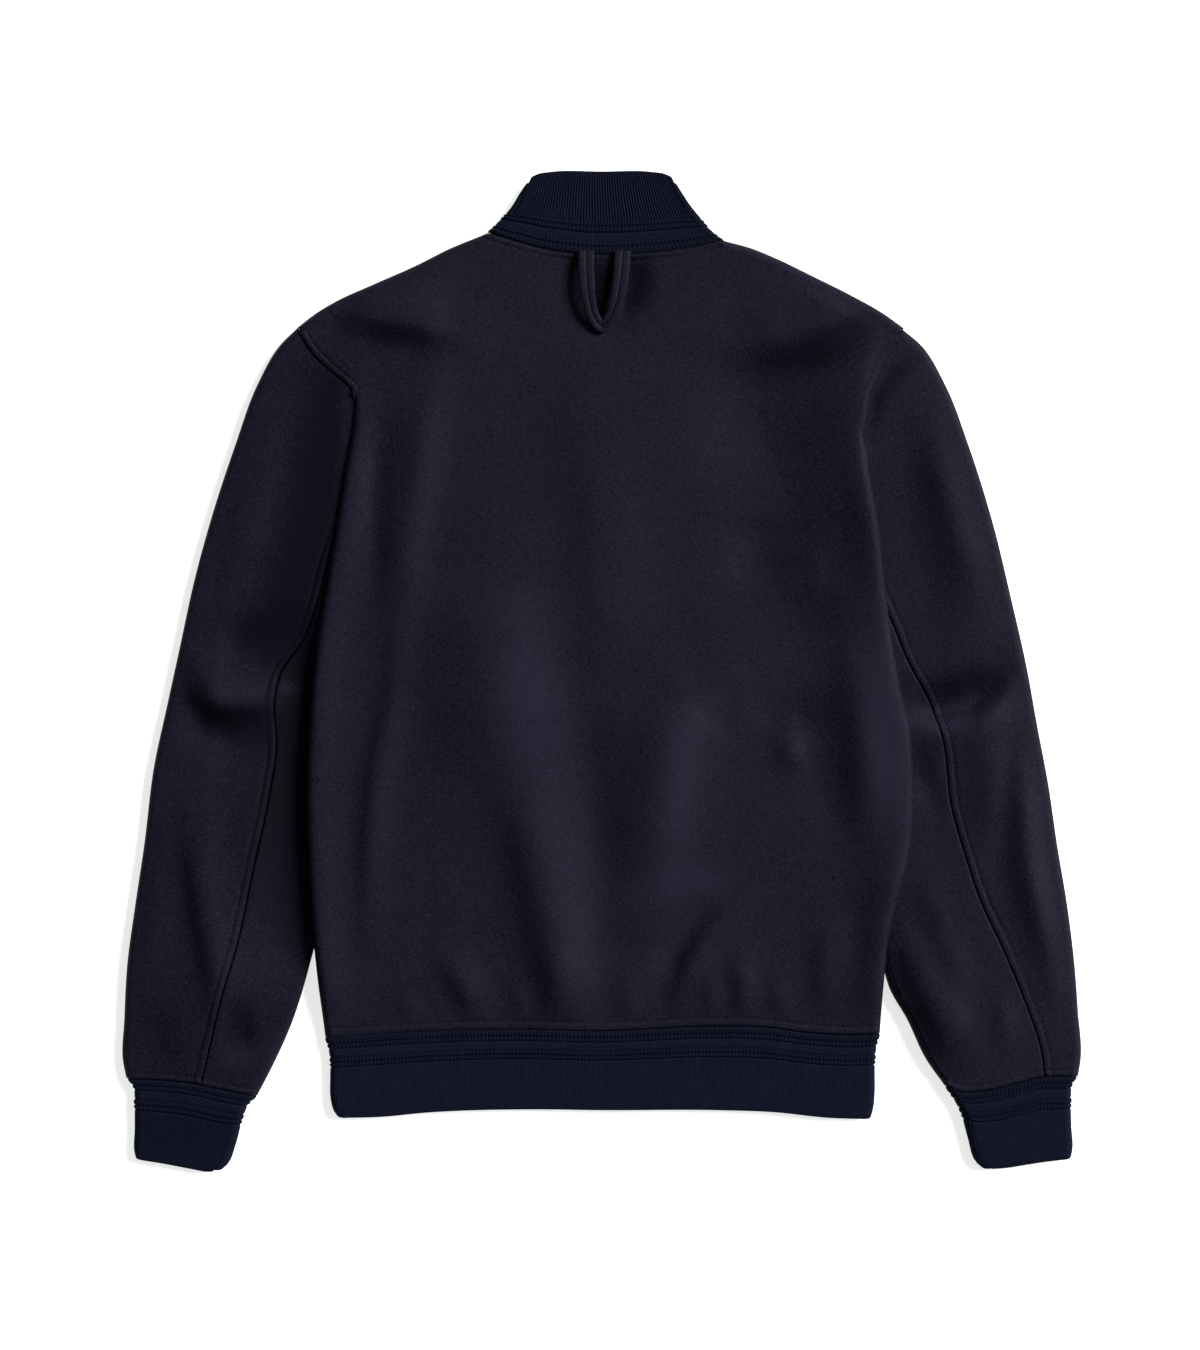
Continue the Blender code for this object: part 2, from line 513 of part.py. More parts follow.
def sleeve_rings(side):
    """Grids of a sleeve's two pieces on its outer face, in rows from armhole to cuff. Each runs from the
    back seam over the upper side, round a fold and to the seam in the middle of the lower side."""
    down = np.linspace(0, 1, SLEEVE_ROWS) ** 1.15
    outer = at_shares(dense(side["sleeve_outer"]), down)
    inner = at_shares(side["inner_line"], down)
    armhole = side["armhole_line"]
    cuff_seam = dense(side["cuff_seam"])
    reach = SLEEVE_EDGE / 2.0
    to_inner = square_to(outer, -side["sign"])
    to_inner[0] = unit(armhole[12] - armhole[0])
    to_inner[-1] = unit(cuff_seam[-1] - cuff_seam[0])
    to_outer = square_to(inner, side["sign"])
    to_outer[-1] = -to_inner[-1]
    free = smooth(-inner[:, 1], -side["covered_to"], 300.0)
    inner_reach = mix(TUCKED_SLEEVE / 2.0, reach, free)
    outer_in = outer + to_inner * reach
    inner_in = inner + to_outer * inner_reach[:, None]
    fine = 60
    head = np.vstack([part_of(armhole, outer_in[0], armhole[-10]), inner_in[:1]])
    foot = part_of(cuff_seam, outer_in[-1], inner_in[-1])
    surface = patch(even(head, fine), even(foot, fine), outer_in, inner_in)
    back_seam = dense(side["back_seam"])
    upper, under = [], []
    for i, row in enumerate(surface):
        away = np.linalg.norm(row[:, None] - back_seam[None], axis=2).min(axis=1)
        at = np.argmin(away) / fine
        width = np.linalg.norm(row[-1] - row[0])
        gap = SLEEVE_GAP / 2 / width
        way = unit(row[-1] - row[0])
        to_body = np.array([way[1], -way[0]]) * side["sign"] * (i == 0)

        def upper_side(shares):
            plan = along_row(row, shares)
            across = mix(reach / width, 1.0 - inner_reach[i] / width, shares)
            height = sleeve_top(side, plan[:, 0], plan[:, 1], across, down[i])
            lap = SEAM_LAP * smooth(shares, 0.06, 0.25) * (1.0 - smooth(shares, 0.8, 0.95))
            return np.column_stack([plan + to_body * lap[:, None], height])

        def lower_side(shares):
            return np.column_stack([along_row(row, shares) - to_body * ARMHOLE_GAP, np.zeros(len(shares))])

        outer_top = upper_side(np.linspace(at - gap, 0.0, OUTER_CELLS + 1))
        inner_top = upper_side(np.linspace(1.0, at + gap, INNER_CELLS + 1))
        upper.append(np.vstack([
            outer_top,
            fold_points(outer_top[-1], to_inner[i], reach),
            lower_side(np.linspace(0.0, 0.5 - gap / 2, UNDER_CELLS + 1)),
        ]))
        under.append(np.vstack([
            lower_side(np.linspace(0.5 + gap / 2, 1.0, UNDER_CELLS + 1)),
            fold_points(inner_top[0], to_outer[i], inner_reach[i])[::-1],
            inner_top,
        ]))
    grids = []
    for rings in (upper, under):
        grid = np.array(rings)
        grid[0] += unit(grid[1] - grid[0]) * GAP
        grid[-1] -= unit(grid[-1] - grid[-2]) * GAP / 2
        grids.append(grid)
    return grids


def material(name):
    found = bpy.data.materials.get(name)
    if found:
        return found
    made = bpy.data.materials.new(name)
    made.use_nodes = True
    shader = made.node_tree.nodes["Principled BSDF"]
    shader.inputs["Base Color"].default_value = (*COLOURS[name], 1.0)
    shader.inputs["Roughness"].default_value = ROUGHNESS[name]
    shader.inputs["Metallic"].default_value = 1.0 if name == "stud" else 0.0
    return made


def place(name, shape, finish):
    """A mesh object of the jacket, from a bmesh in millimetres."""
    for vertex in shape.verts:
        vertex.co.x = (vertex.co.x - CENTRE_X) * MM
        vertex.co.y = (vertex.co.y - CENTRE_Y) * MM
        vertex.co.z *= MM
    mesh = bpy.data.meshes.new(name)
    shape.to_mesh(mesh)
    shape.free()
    mesh.materials.append(material(finish))
    mesh.shade_smooth()
    mesh.set_sharp_from_angle(angle=math.radians(50))
    obj = bpy.data.objects.new(name, mesh)
    JACKET.objects.link(obj)
    return obj


def sheet(name, grid, flip=False):
    """A cloth piece: an open surface on its outer face, with the wall built inwards."""
    rows, columns, _ = grid.shape
    shape = bmesh.new()
    corners = [[shape.verts.new(point) for point in row] for row in grid]
    for i in range(rows - 1):
        for j in range(columns - 1):
            loop = [corners[i][j], corners[i][j + 1], corners[i + 1][j + 1], corners[i + 1][j]]
            shape.faces.new(loop[::-1] if flip else loop)
    obj = place(name, shape, "melton")
    wall = obj.modifiers.new("wall", "SOLIDIFY")
    wall.thickness = CLOTH * MM
    wall.offset = -1.0
    wall.use_even_offset = False


def knit_wall(name, outer, inner, closed, rib_row, rib_counts):
    """A trim with a ribbed outer face over a plain inner one. outer and inner hold rows of points from the
    seam to the free edge, and run round the trim; rib_counts gives the ribs of each cell of the rib row."""
    shape = bmesh.new()
    out = [[shape.verts.new(point) for point in row] for row in outer]
    within = [[shape.verts.new(point) for point in row] for row in inner]
    count = outer.shape[1]
    last, inner_last = len(outer) - 1, len(inner) - 1

    def ribs(row, cell, following):
        """The points of the ribs along one edge of the rib row: crests stand out of the face."""
        start, along = outer[row][cell], outer[row][following] - outer[row][cell]
        face = unit(np.cross(along, outer[rib_row + 1][cell] - outer[rib_row][cell]))
        steps = 2 * rib_counts[cell]
        spots = [start + along * k / steps + face * RIB_DEPTH * (k % 2) for k in range(1, steps)]
        return [shape.verts.new(spot) for spot in spots]

    for cell in range(count if closed else count - 1):
        following = (cell + 1) % count
        rib_edges = {row: ribs(row, cell, following) for row in (rib_row, rib_row + 1)}
        for row in range(last):
            above = [out[row][cell], *rib_edges.get(row, []), out[row][following]]
            below = [out[row + 1][cell], *rib_edges.get(row + 1, []), out[row + 1][following]]
            if row == rib_row:
                for k in range(len(above) - 1):
                    shape.faces.new([above[k], above[k + 1], below[k + 1], below[k]])
            else:
                shape.faces.new(above + below[::-1])
        for row in range(inner_last):
            shape.faces.new([within[row][following], within[row][cell],
                             within[row + 1][cell], within[row + 1][following]])
        shape.faces.new([out[0][following], out[0][cell], within[0][cell], within[0][following]])
        shape.faces.new([out[last][cell], out[last][following], within[inner_last][following],
                         within[inner_last][cell]])
    if not closed:
        shape.faces.new([row[0] for row in out] + [row[0] for row in within[::-1]])
        shape.faces.new([row[-1] for row in within] + [row[-1] for row in out[::-1]])
    bmesh.ops.recalc_face_normals(shape, faces=shape.faces)
    place(name, shape, "rib_knit")


def ring_face(top, left, right, way_left, under, lift, floor_lift):
    """One row round a trim: under side from the centre to the right fold, roll, top, roll and under side."""

    def roll(centre, way, height):
        reach = TRIM_HEIGHT / 2.0 + lift
        points = []
        for angle in TRIM_ROLL:
            z = height / 2.0 + (height / 2.0 + lift) * math.cos(angle)
            if angle > math.pi / 2:
                z = mix(height / 2.0, floor_lift, 1.0 - math.sin(angle))
            points.append([*(centre + way * reach * math.sin(angle)), z])
        return points

    right_run, left_run = ([[*point, floor_lift] for point in run] for run in under)
    upper = top + np.array([0.0, 0.0, lift])
    return [*right_run, *roll(right, -way_left, top[0, 2])[::-1], *upper.tolist(),
            *roll(left, way_left, top[-1, 2]), *left_run]


def trim(name, seam, free, left, right, depth, tops, under_shape, rib_count, top_cells, closed=False):
    """A knit trim laid flat: seam and free are its upper edges from left to right, left and right its
    folded sides. tops gives the height of its upper face at the seam and at the free edge. under_shape
    gives the plan points under it for a share of its depth: centre to right fold, left fold to centre."""

    def face(rows, inner):
        made = []
        for share, lift in rows:
            left_point, right_point = at_shares(left, [share])[0], at_shares(right, [share])[0]
            way_left = unit(left_point - right_point)
            left_in = left_point - way_left * TRIM_HEIGHT / 2.0
            right_in = right_point + way_left * TRIM_HEIGHT / 2.0
            plan = mix(even(seam, top_cells), even(free, top_cells), share)[::-1]
            plan = stretched(plan, right_in, left_in)
            top = np.column_stack([plan, np.full(len(plan), mix(*tops, share))])
            floor_lift = -lift if inner or share == 1.0 else 0.0
            under = under_shape(share, left_in, right_in)
            made.append(ring_face(top, left_in, right_in, way_left, under, lift, floor_lift))
        return np.array(made)

    rows = [(at / depth, lift) for at, lift in WELTS]
    rows += [((depth - 2.5) / depth, 0.0), (1.0, -KNIT * 0.3)]
    outer = face(rows, False)
    inner = face([(0.0, -KNIT), (0.5, -KNIT), (1.0, -KNIT * 0.7)], True)
    first = len(under_shape(0.0, left[0], right[0])[0]) + len(TRIM_ROLL)
    counts = [0] * outer.shape[1]
    for cell in range(first, first + top_cells):
        counts[cell] = round(rib_count / top_cells)
    for cell in (first - 1, first - 2, first + top_cells, first + top_cells + 1):
        counts[cell] = 2
    knit_wall(name, outer, inner, closed, len(WELTS) - 1, counts)


def waistband():
    left, right, free = dense(WAISTBAND_LEFT), dense(WAISTBAND_RIGHT), dense(WAISTBAND_FREE)
    seam = HEM_LINE - np.array([0.0, GAP / 2])

    def under(share, left_in, right_in):
        right_end = np.array([CENTRE_GAP, mix(FRONT_HEM, FREE_HEM, share)])
        left_end = right_end * (-1.0, 1.0)
        shares = np.linspace(0, 1, 4)[:, None]
        return mix(right_end, right_in, shares), mix(left_in, left_end, shares)

    rib_count = (right[0, 0] - left[0, 0]) / RIB_PITCH
    tops = HEM_HEIGHT, FREE_HEIGHT
    trim("waistband", seam, free, left, right, WAISTBAND_DEPTH, tops, under, rib_count, 27)


def collar():
    left, right, free = dense(COLLAR_LEFT), dense(COLLAR_RIGHT), dense(COLLAR_FREE)
    seam = NECK_LINE + np.array([0.0, GAP / 2])

    def under(share, left_in, right_in):
        runs = []
        for side, start in ((RIGHT, right_in), (LEFT, left_in)):
            sign = side["sign"]
            lower = neckline(side)
            way = unit(np.gradient(lower, axis=0))
            lower = lower + np.stack([way[:, 1], -way[:, 0]], axis=1) * GAP * sign
            lower[-1, 0] = sign * CENTRE_GAP
            upper = even(dense([(sign * x, y) for x, y in COLLAR_FRONT]), FRONT_NECK_ROWS)
            runs.append(np.vstack([[start], mix(lower, upper, share)]))
        return runs[0][::-1], runs[1]

    trim("collar", seam, free, left, right, COLLAR_DEPTH, (SHOULDER_HEIGHT, TRIM_HEIGHT), under, 66, 11)


def cuff(name, side):
    seam, free = dense(side["cuff_seam"]), dense(side["cuff_free"])
    left, right = dense(side["cuff_outer"]), dense(side["cuff_inner"])
    if side["sign"] > 0:
        left, right = right, left
        seam, free = seam[::-1], free[::-1]
    seam = seam - np.array([0.0, SIDE_GAP])
    under_cells = 5

    def under(share, left_in, right_in):
        line = mix(even(seam, under_cells), even(free, under_cells), share)
        line = stretched(line, left_in, right_in)
        return line[3:], line[:3]

    trim(name, seam, free, left, right, CUFF_DEPTH, (TRIM_HEIGHT, FREE_HEIGHT), under, 40, 8, closed=True)


def hanger_loop():
    """A strip of the melton, folded lengthwise and sewn into the neck seam at both ends."""
    shares = np.linspace(0, 1, 19)
    path = at_shares(dense(LOOP_MIDDLE), shares)
    along = unit(np.gradient(path, axis=0))
    across = np.stack([along[:, 1], -along[:, 0]], axis=1)
    from_tip = np.abs(shares - 0.5) * 2.0
    half_width = mix(4.6, 6.2, smooth(from_tip, 0.1, 0.7))
    rise = LOOP_ARCH * np.sin(math.pi * from_tip) ** 0.8 + 0.5 * smooth(from_tip, 0.6, 1.0)
    shape = bmesh.new()
    rings = []
    for point, way, half, height in zip(path, across, half_width, LOOP_HEIGHT + rise):
        spots = [(*(point + way * half * out), height + LOOP_THICKNESS * up) for out, up in LOOP_SECTION]
        rings.append([shape.verts.new(spot) for spot in spots])
    for first, second in zip(rings, rings[1:]):
        for k in range(len(LOOP_SECTION)):
            following = (k + 1) % len(LOOP_SECTION)
            shape.faces.new([first[k], first[following], second[following], second[k]])
    shape.faces.new(rings[0][::-1])
    shape.faces.new(rings[-1])
    bmesh.ops.recalc_face_normals(shape, faces=shape.faces)
    place("hanger_loop", shape, "melton")


def stud_caps():
    """Press stud caps on the outer face of the front that closes outermost, which faces the surface."""
    for i, y in enumerate(np.linspace(NECK_BOTTOM - STUD_MARGIN, FRONT_HEM + STUD_MARGIN, STUD_COUNT)):
        shape = bmesh.new()
        bmesh.ops.create_cone(shape, cap_ends=True, segments=16, radius1=STUD_RADIUS - 0.5,
                              radius2=STUD_RADIUS, depth=STUD_HEIGHT)
        bmesh.ops.translate(shape, verts=shape.verts, vec=(0.0, y, STUD_HEIGHT / 2))
        place(f"stud_cap_{i + 1}", shape, "stud")


for left_over in list(bpy.data.objects):
    bpy.data.objects.remove(left_over)
JACKET = bpy.data.collections.new("bomber_jacket")
bpy.context.scene.collection.children.link(JACKET)

sheet("back", back_panel())
for part_side, label in ((LEFT, "left"), (RIGHT, "right")):
    mirrored = part_side["sign"] > 0
    sheet(f"front_{label}", front_panel(part_side), flip=not mirrored)
    upper_piece, under_piece = sleeve_rings(part_side)
    sheet(f"sleeve_{label}_upper", upper_piece, flip=mirrored)
    sheet(f"sleeve_{label}_under", under_piece, flip=mirrored)
    cuff(f"cuff_{label}", part_side)
collar()
waistband()
hanger_loop()
stud_caps()
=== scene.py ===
"""The looks of a wool bomber jacket with ribbed knit trims, laid flat on its front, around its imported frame.

Sizes are in millimetres up to the meshes, which are in metres. +X is the garment's right as it is seen from
behind, +Y runs from the waistband to the collar, and the table it lies on is z = 0.
"""

import math

import bmesh
import bpy
import numpy as np
from mathutils import Matrix, Vector


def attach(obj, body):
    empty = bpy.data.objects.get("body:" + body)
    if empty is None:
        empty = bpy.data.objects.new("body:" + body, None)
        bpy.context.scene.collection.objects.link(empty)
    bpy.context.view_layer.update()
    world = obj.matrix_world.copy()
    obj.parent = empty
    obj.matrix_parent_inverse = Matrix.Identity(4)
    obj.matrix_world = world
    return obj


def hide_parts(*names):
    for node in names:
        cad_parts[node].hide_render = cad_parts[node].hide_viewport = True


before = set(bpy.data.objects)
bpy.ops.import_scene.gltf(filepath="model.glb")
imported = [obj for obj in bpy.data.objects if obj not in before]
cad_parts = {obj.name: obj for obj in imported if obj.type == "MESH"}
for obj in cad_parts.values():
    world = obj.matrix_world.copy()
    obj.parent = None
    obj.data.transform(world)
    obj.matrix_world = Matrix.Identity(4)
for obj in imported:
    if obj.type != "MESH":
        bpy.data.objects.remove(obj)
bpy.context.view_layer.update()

# The view and the table: a camera straight above the garment, one broad soft light on its right, a little
# towards the collar, and pale light from all round. The table glows a little, so that it is as white as in
# the photograph.
TABLE_GAP = 0.0003  # under the garment, in metres, so that no two faces lie in one plane
scene = bpy.context.scene
lens = bpy.data.cameras.new("camera")
lens.sensor_fit, lens.sensor_height, lens.lens = "VERTICAL", 36.0, 85.0
camera = bpy.data.objects.new("camera", lens)
camera.location = (-0.0009, -0.0032, 2.472)
scene.collection.objects.link(camera)
scene.camera = camera
scene.view_settings.view_transform = "Standard"

key = bpy.data.lights.new("key", "SUN")
key.energy, key.angle = 6.2, math.radians(32)
lamp = bpy.data.objects.new("key", key)
lamp.rotation_euler = (0.0, math.radians(56), math.radians(26))
scene.collection.objects.link(lamp)
scene.world = bpy.data.worlds.new("room")
scene.world.use_nodes = True
scene.world.node_tree.nodes["Background"].inputs["Color"].default_value = (0.95, 0.97, 1.0, 1.0)
scene.world.node_tree.nodes["Background"].inputs["Strength"].default_value = 0.16

table_shape = bmesh.new()
bmesh.ops.create_grid(table_shape, x_segments=1, y_segments=1, size=4.0)
bmesh.ops.translate(table_shape, verts=table_shape.verts, vec=(0.0, 0.0, -TABLE_GAP))
table_mesh = bpy.data.meshes.new("table")
table_shape.to_mesh(table_mesh)
table_shape.free()
table_finish = bpy.data.materials.new("white_board")
table_finish.use_nodes = True
table_shader = table_finish.node_tree.nodes["Principled BSDF"]
table_shader.inputs["Base Color"].default_value = (0.9, 0.9, 0.9, 1.0)
table_shader.inputs["Roughness"].default_value = 0.7
table_shader.inputs["Emission Color"].default_value = (1.0, 1.0, 1.0, 1.0)
table_shader.inputs["Emission Strength"].default_value = 0.7
table_mesh.materials.append(table_finish)
table = bpy.data.objects.new("table", table_mesh)
scene.collection.objects.link(table)

# The back: one panel of heavy wool melton, fulled until its weave is gone and brushed to a short nap. It is
# sewn to the sleeves, the collar and the waistband with topstitched seams, and rolls under at both sides.
MM = 0.001
CENTRE = 0.145, 0.455  # middle of the garment's box in the frame that the outlines are drawn in
CLOTH = 2.0
GAP = 0.3  # between two pieces sewn together
SIDE_GAP = 0.8
BODY_HEIGHT, SHOULDER_HEIGHT, HEM_HEIGHT = 15.0, 13.8, 12.0
RIDGE_WIDTH = 15.0  # of the rolled side, which stands over the body's middle
ROLL = 6.0  # width of the roll
SHOULDER_FLAP, NECK_FLAP, HEM_FLAP = 8.0, 1.0, 18.0  # how far the seams lie in on the hidden side
FRONT_HEM = -281.0
CELL = 3.4  # of the panels' meshes
FINE, FINE_STRIP = 0.9, 9.0  # the same beside a seam, and how far from it
FOLD_RUN, ARMHOLE_RUN, SHOULDER_RUN = 500.0, 65.0, 165.0  # how the rows of the back share out its edge
BACK_ROLL = np.radians(np.linspace(20.0, 180.0, 9))
LEFT = {
    "shoulder": [
        (-235, 265.5), (-221, 276.5), (-205.6, 285.8), (-175.5, 299.5), (-143.8, 313.5), (-116, 327.4),
        (-88.2, 338.6),
    ],
    "armhole": [
        (-235, 265.5), (-225, 248.5), (-209.5, 232.3), (-192.2, 217.5), (-181, 182), (-171.5, 140),
        (-163, 101.6), (-157, 70.7), (-154, 50.6),
    ],
    "fold": [
        (-192.2, 217.5), (-191.3, 198.3), (-197.9, 154.2), (-204.1, 117.1), (-211.8, 73), (-221.1, 11.2),
        (-225.7, -37.5), (-228, -92.4), (-226.9, -138), (-224.2, -180.5), (-219.5, -230.7), (-213.3, -282.5),
    ],
    "covered_to": -225.0,  # below this y the sleeve lies free of the body
    "tucked": 5.4,  # height of the sleeve where the body lies on it
    "ridge": 3.2,  # height of the body's rolled side over its middle
    "armhole_relief": 1.0,  # share of a seam's depth that shows at the armhole
    "sign": -1.0,  # of x on this side
}
RIGHT = {
    "shoulder": [
        (234.4, 265.2), (217.9, 277), (193.2, 290.9), (165.8, 304.6), (137.4, 318.5), (115.2, 327.6),
        (95, 333),
    ],
    "armhole": [
        (234.4, 265.2), (230.2, 257.8), (220.3, 240.8), (211.5, 223.8), (205.6, 207.6), (203, 190.5),
        (194.5, 155.8), (185, 118), (177, 84), (172, 49.9),
    ],
    "fold": [
        (203, 190.5), (206.4, 157.3), (214.5, 110), (220.3, 55.3), (229.5, -6.6), (237.4, -42),
        (240.4, -85.4), (236.5, -144.2), (228, -176.6), (221.9, -206), (218, -242.3), (215.7, -279.5),
    ],
    "covered_to": -242.0,
    "tucked": 9.4,
    "ridge": 3.4,
    "armhole_relief": 0.15,
    "sign": 1.0,
}
BACK_NECK = [
    (-88.2, 338.6), (-67, 332), (-47.2, 326.5), (-20.1, 322.4), (0.8, 321.4), (24, 322.3), (61.1, 326),
    (95, 333),
]
BACK_HEM = [
    (-213.3, -282.5), (-155.4, -278.7), (-70.3, -276), (-0.8, -277.5), (81.9, -274), (125.2, -274.5),
    (161.6, -279), (198.7, -280.6), (215.7, -279.5),
]
# Folds and creases: (points, width on the side of -X or -Y, width on the side of +X or +Y, height). A line
# runs down the garment or across it to +X, and a trough's height is negative.
BODY_FOLDS = [
    ([(-126, 238), (-136, 195), (-143, 145), (-150, 100), (-153, 60), (-156, 25)], 18, 15, 5.0),
    ([(-172, 215), (-174, 150), (-175, 90), (-176, 50)], 9, 9, -1.8),
    ([(-157, 32), (-159, 0), (-165, -35), (-173, -70), (-177, -110), (-180, -160), (-180, -205)], 7, 14, 4.0),
    ([(-208, 286), (-185, 277), (-160, 271), (-135, 267), (-112, 258)], 13, 34, 6.5),
    ([(107, 262), (107, 235), (114, 212), (126, 190), (137, 165), (140, 135)], 46, 66, -5.2),
    ([(98, 256), (140, 262), (170, 271), (207, 284)], 14, 34, 4.5),
    ([(214, 272), (203, 240), (199, 205), (200, 165), (205, 120), (213, 70)], 34, 10, 5.0),
    ([(-80, 85), (-84, 10), (-80, -45), (-68, -85)], 52, 54, 9.5),
    ([(-66, -80), (-56, -122), (-48, -162), (-39, -205), (-32, -250)], 19, 28, 6.6),
    ([(-10, 200), (0, 120), (3, 50), (5, -20)], 26, 38, 4.5),
    ([(-20, 0), (-12, -60), (-3, -110), (3, -160), (6, -205)], 18, 18, -2.4),
    ([(92, -10), (66, -24), (53, -55), (48, -100), (39, -140), (34, -180)], 34, 30, 8.0),
    ([(142, -48), (151, -76)], 11, 10, 3.4),
    ([(106, -36), (124, -33), (150, -30), (178, -44)], 10, 20, -2.4),
    ([(160, -60), (174, -94), (190, -122)], 16, 26, -1.4),
    ([(192, 40), (200, 0), (204, -50), (208, -100), (216, -150)], 20, 28, 7.0),
    ([(118, 125), (122, 60)], 22, 24, -3.6),
    ([(162, 104), (166, 50)], 22, 13, 2.2),
    ([(60, 190), (75, 120)], 40, 34, 1.0),
    ([(178, -185), (184, -240)], 16, 12, 2.6),
]
HEM_PUCKERS = [
    ([(-37, -205), (-31, -245), (-29, -274)], 15, 20, 5.6),
    ([(-122, -220), (-106, -243), (-95, -268)], 8, 14, 4.2),
    ([(98, -176), (75, -193), (58, -215), (46, -247)], 14, 10, -4.4),
    ([(102, -181), (80, -203), (66, -230), (58, -258)], 7, 11, 3.0),
    ([(107, -222), (110, -266)], 8, 12, 3.8),
    ([(84, -232), (86, -266)], 6, 8, 2.0),
    ([(134, -238), (140, -266)], 8, 10, 2.4),
    ([(20, -240), (22, -268)], 9, 10, 1.8),
    ([(-150, -250), (-144, -270)], 8, 8, 1.8),
    ([(-66, -240), (-60, -268)], 7, 7, 1.8),
    ([(168, -205), (174, -255)], 9, 9, 2.2),
]
LOOP_DENT = [
    ([(-15, 326), (-15, 295), (-4, 268)], 14, 8, -5.0),
    ([(21, 326), (19, 295), (8, 270)], 8, 14, -5.0),
]
# Painted light and shade: patches where the cloth's colour is made lighter or darker to stand for light and
# shade, such as the body's shadow on the left sleeve, the shade round the hanger loop and on the left cuff,
# and the lit and shaded sides of folds; as the folds, with a share of the cloth's shade.
PAINTED_LIGHTS_AND_SHADES = [
    ([(106, 238), (148, 240), (190, 246)], 14, 11, -0.3),
    ([(136, 245), (180, 258), (220, 282)], 16, 8, -0.36),
    ([(112, 222), (130, 188), (150, 140), (160, 90), (164, 55)], 8, 34, -0.16),
    ([(-192, 264), (-160, 260), (-112, 252)], 11, 9, -0.36),
    ([(-166, 215), (-167, 120), (-170, 40)], 14, 12, -0.06),
    ([(-88, -80), (-72, -140), (-56, -200), (-44, -262)], 24, 10, -0.03),
    ([(-60, 40), (-56, -20), (-48, -80)], 24, 22, 0.32),
    ([(-44, -60), (-30, -130), (-14, -220), (-9, -258)], 20, 18, 0.16),
    ([(92, -22), (68, -40), (58, -90), (54, -160)], 15, 14, 0.26),
    ([(26, -164), (68, -158), (112, -168)], 17, 15, 0.26),
    ([(112, -34), (140, -30), (170, -36), (188, -60), (194, -110)], 14, 14, -0.12),
    ([(184, 110), (180, 60), (184, 10)], 26, 10, -0.14),
    ([(206, -150), (200, -200), (204, -250)], 26, 10, -0.17),
    ([(207, 50), (210, 0), (217, -60), (222, -110), (229, -150)], 14, 16, 0.36),
    ([(243, 243), (228, 232), (213, 214), (207, 184)], 6, 7, -0.26),
    ([(204, 215), (202, 180), (204, 150)], 5, 4, 0.2),
    (
        [(-208, 226), (-214, 154), (-226, 73), (-238, 0), (-240, -92), (-238, -150), (-232, -245)],
        32, 12, -0.66,
    ),
    ([(-202, 222), (-206, 180), (-213, 130)], 24, 5, -0.34),
    ([(-252, -10), (-232, -16)], 7, 7, 0.6),
    ([(-262, -60), (-268, -150), (-276, -230)], 32, 30, -0.12),
    ([(-320, -90), (-318, -200), (-322, -290)], 40, 50, -0.06),
    ([(-318, 4), (-302, -36), (-270, -42), (-234, -44)], 10, 10, -0.5),
    ([(-296, -42), (-262, -44), (-236, -48)], 10, 11, -0.4),
    ([(-252, -52), (-234, -52)], 13, 11, -0.6),
    ([(-288, 36), (-262, 30), (-236, 22)], 16, 16, -0.3),
    ([(-300, -10), (-270, -14), (-244, -16)], 6, 7, 0.1),
    ([(-326, -110), (-314, -180), (-300, -240)], 6, 6, -0.12),
    ([(-338, -250), (-336, -305)], 12, 12, -0.12),
    ([(-284, -242), (-274, -280), (-256, -272)], 9, 11, -0.24),
    ([(-300, -300), (-272, -300)], 6, 6, 0.24),
    ([(244, 200), (254, 120), (268, 60), (278, 15)], 18, 20, -0.24),
    ([(236, -12), (262, -16), (304, -2)], 13, 11, -0.46),
    ([(234, -39), (266, -42), (292, -34), (318, -10)], 5, 4, 0.4),
    ([(248, -56), (250, -88)], 9, 9, -0.24),
    ([(322, -45), (317, -100), (319, -150), (338, -215), (346, -262)], 9, 9, -0.22),
    ([(222, -205), (240, -255), (268, -308)], 8, 10, -0.26),
    ([(242, -200), (268, -250), (300, -292)], 8, 8, 0.14),
    ([(-25, 324), (-25, 298), (-16, 270)], 10, 7, -0.34),
    ([(31, 322), (30, 298), (18, 270)], 7, 11, -0.3),
    ([(2, 322), (2, 284)], 7, 7, -0.42),
    ([(-322, -330), (-324, -382)], 70, 70, -0.26),
]
SEAM_DEPTH, SEAM_WIDTH = 0.9, 1.3  # how far the cloth dips where it is sewn on
STITCH_DEPTH, STITCH_WIDTH = 0.5, 0.8  # and along its topstitching
PUFF = 0.25  # the seam allowance swells the strip between the two
NECK_STITCH, HEM_STITCH, ARMHOLE_STITCH = 4.8, 6.2, 5.2  # distance from the seam
FOLD_REACH, FOLD_STEP = 420.0, 1.5  # half the side of the square grid that holds the folds, and its cells
SOFTENINGS = 4  # of that grid


def smooth(value, low, high):
    """0 up to low, 1 from high, and a smooth step between."""
    share = np.clip((np.asarray(value, float) - low) / (high - low), 0.0, 1.0)
    return share * share * (3.0 - 2.0 * share)


def mix(first, second, share):
    return first + (second - first) * share


def dense(points, per_span=24):
    """A smooth curve through the points, as many short chords."""
    points = np.array(points, float)
    chord = np.linalg.norm(np.diff(points, axis=0), axis=1)
    slope = np.diff(points, axis=0) / chord[:, None]
    inner = slope[:-1] * chord[1:, None] + slope[1:] * chord[:-1, None]
    inner = inner / (chord[1:] + chord[:-1])[:, None]
    tangent = np.vstack([slope[:1], inner, slope[-1:]])
    u = np.linspace(0.0, 1.0, per_span, endpoint=False)[:, None]
    spans = []
    for i, length in enumerate(chord):
        spans.append(
            (2 * u**3 - 3 * u**2 + 1) * points[i]
            + (u**3 - 2 * u**2 + u) * length * tangent[i]
            + (3 * u**2 - 2 * u**3) * points[i + 1]
            + (u**3 - u**2) * length * tangent[i + 1]
        )
    return np.vstack(spans + [points[-1:]])


def length_of(line):
    return np.linalg.norm(np.diff(line, axis=0), axis=1).sum()


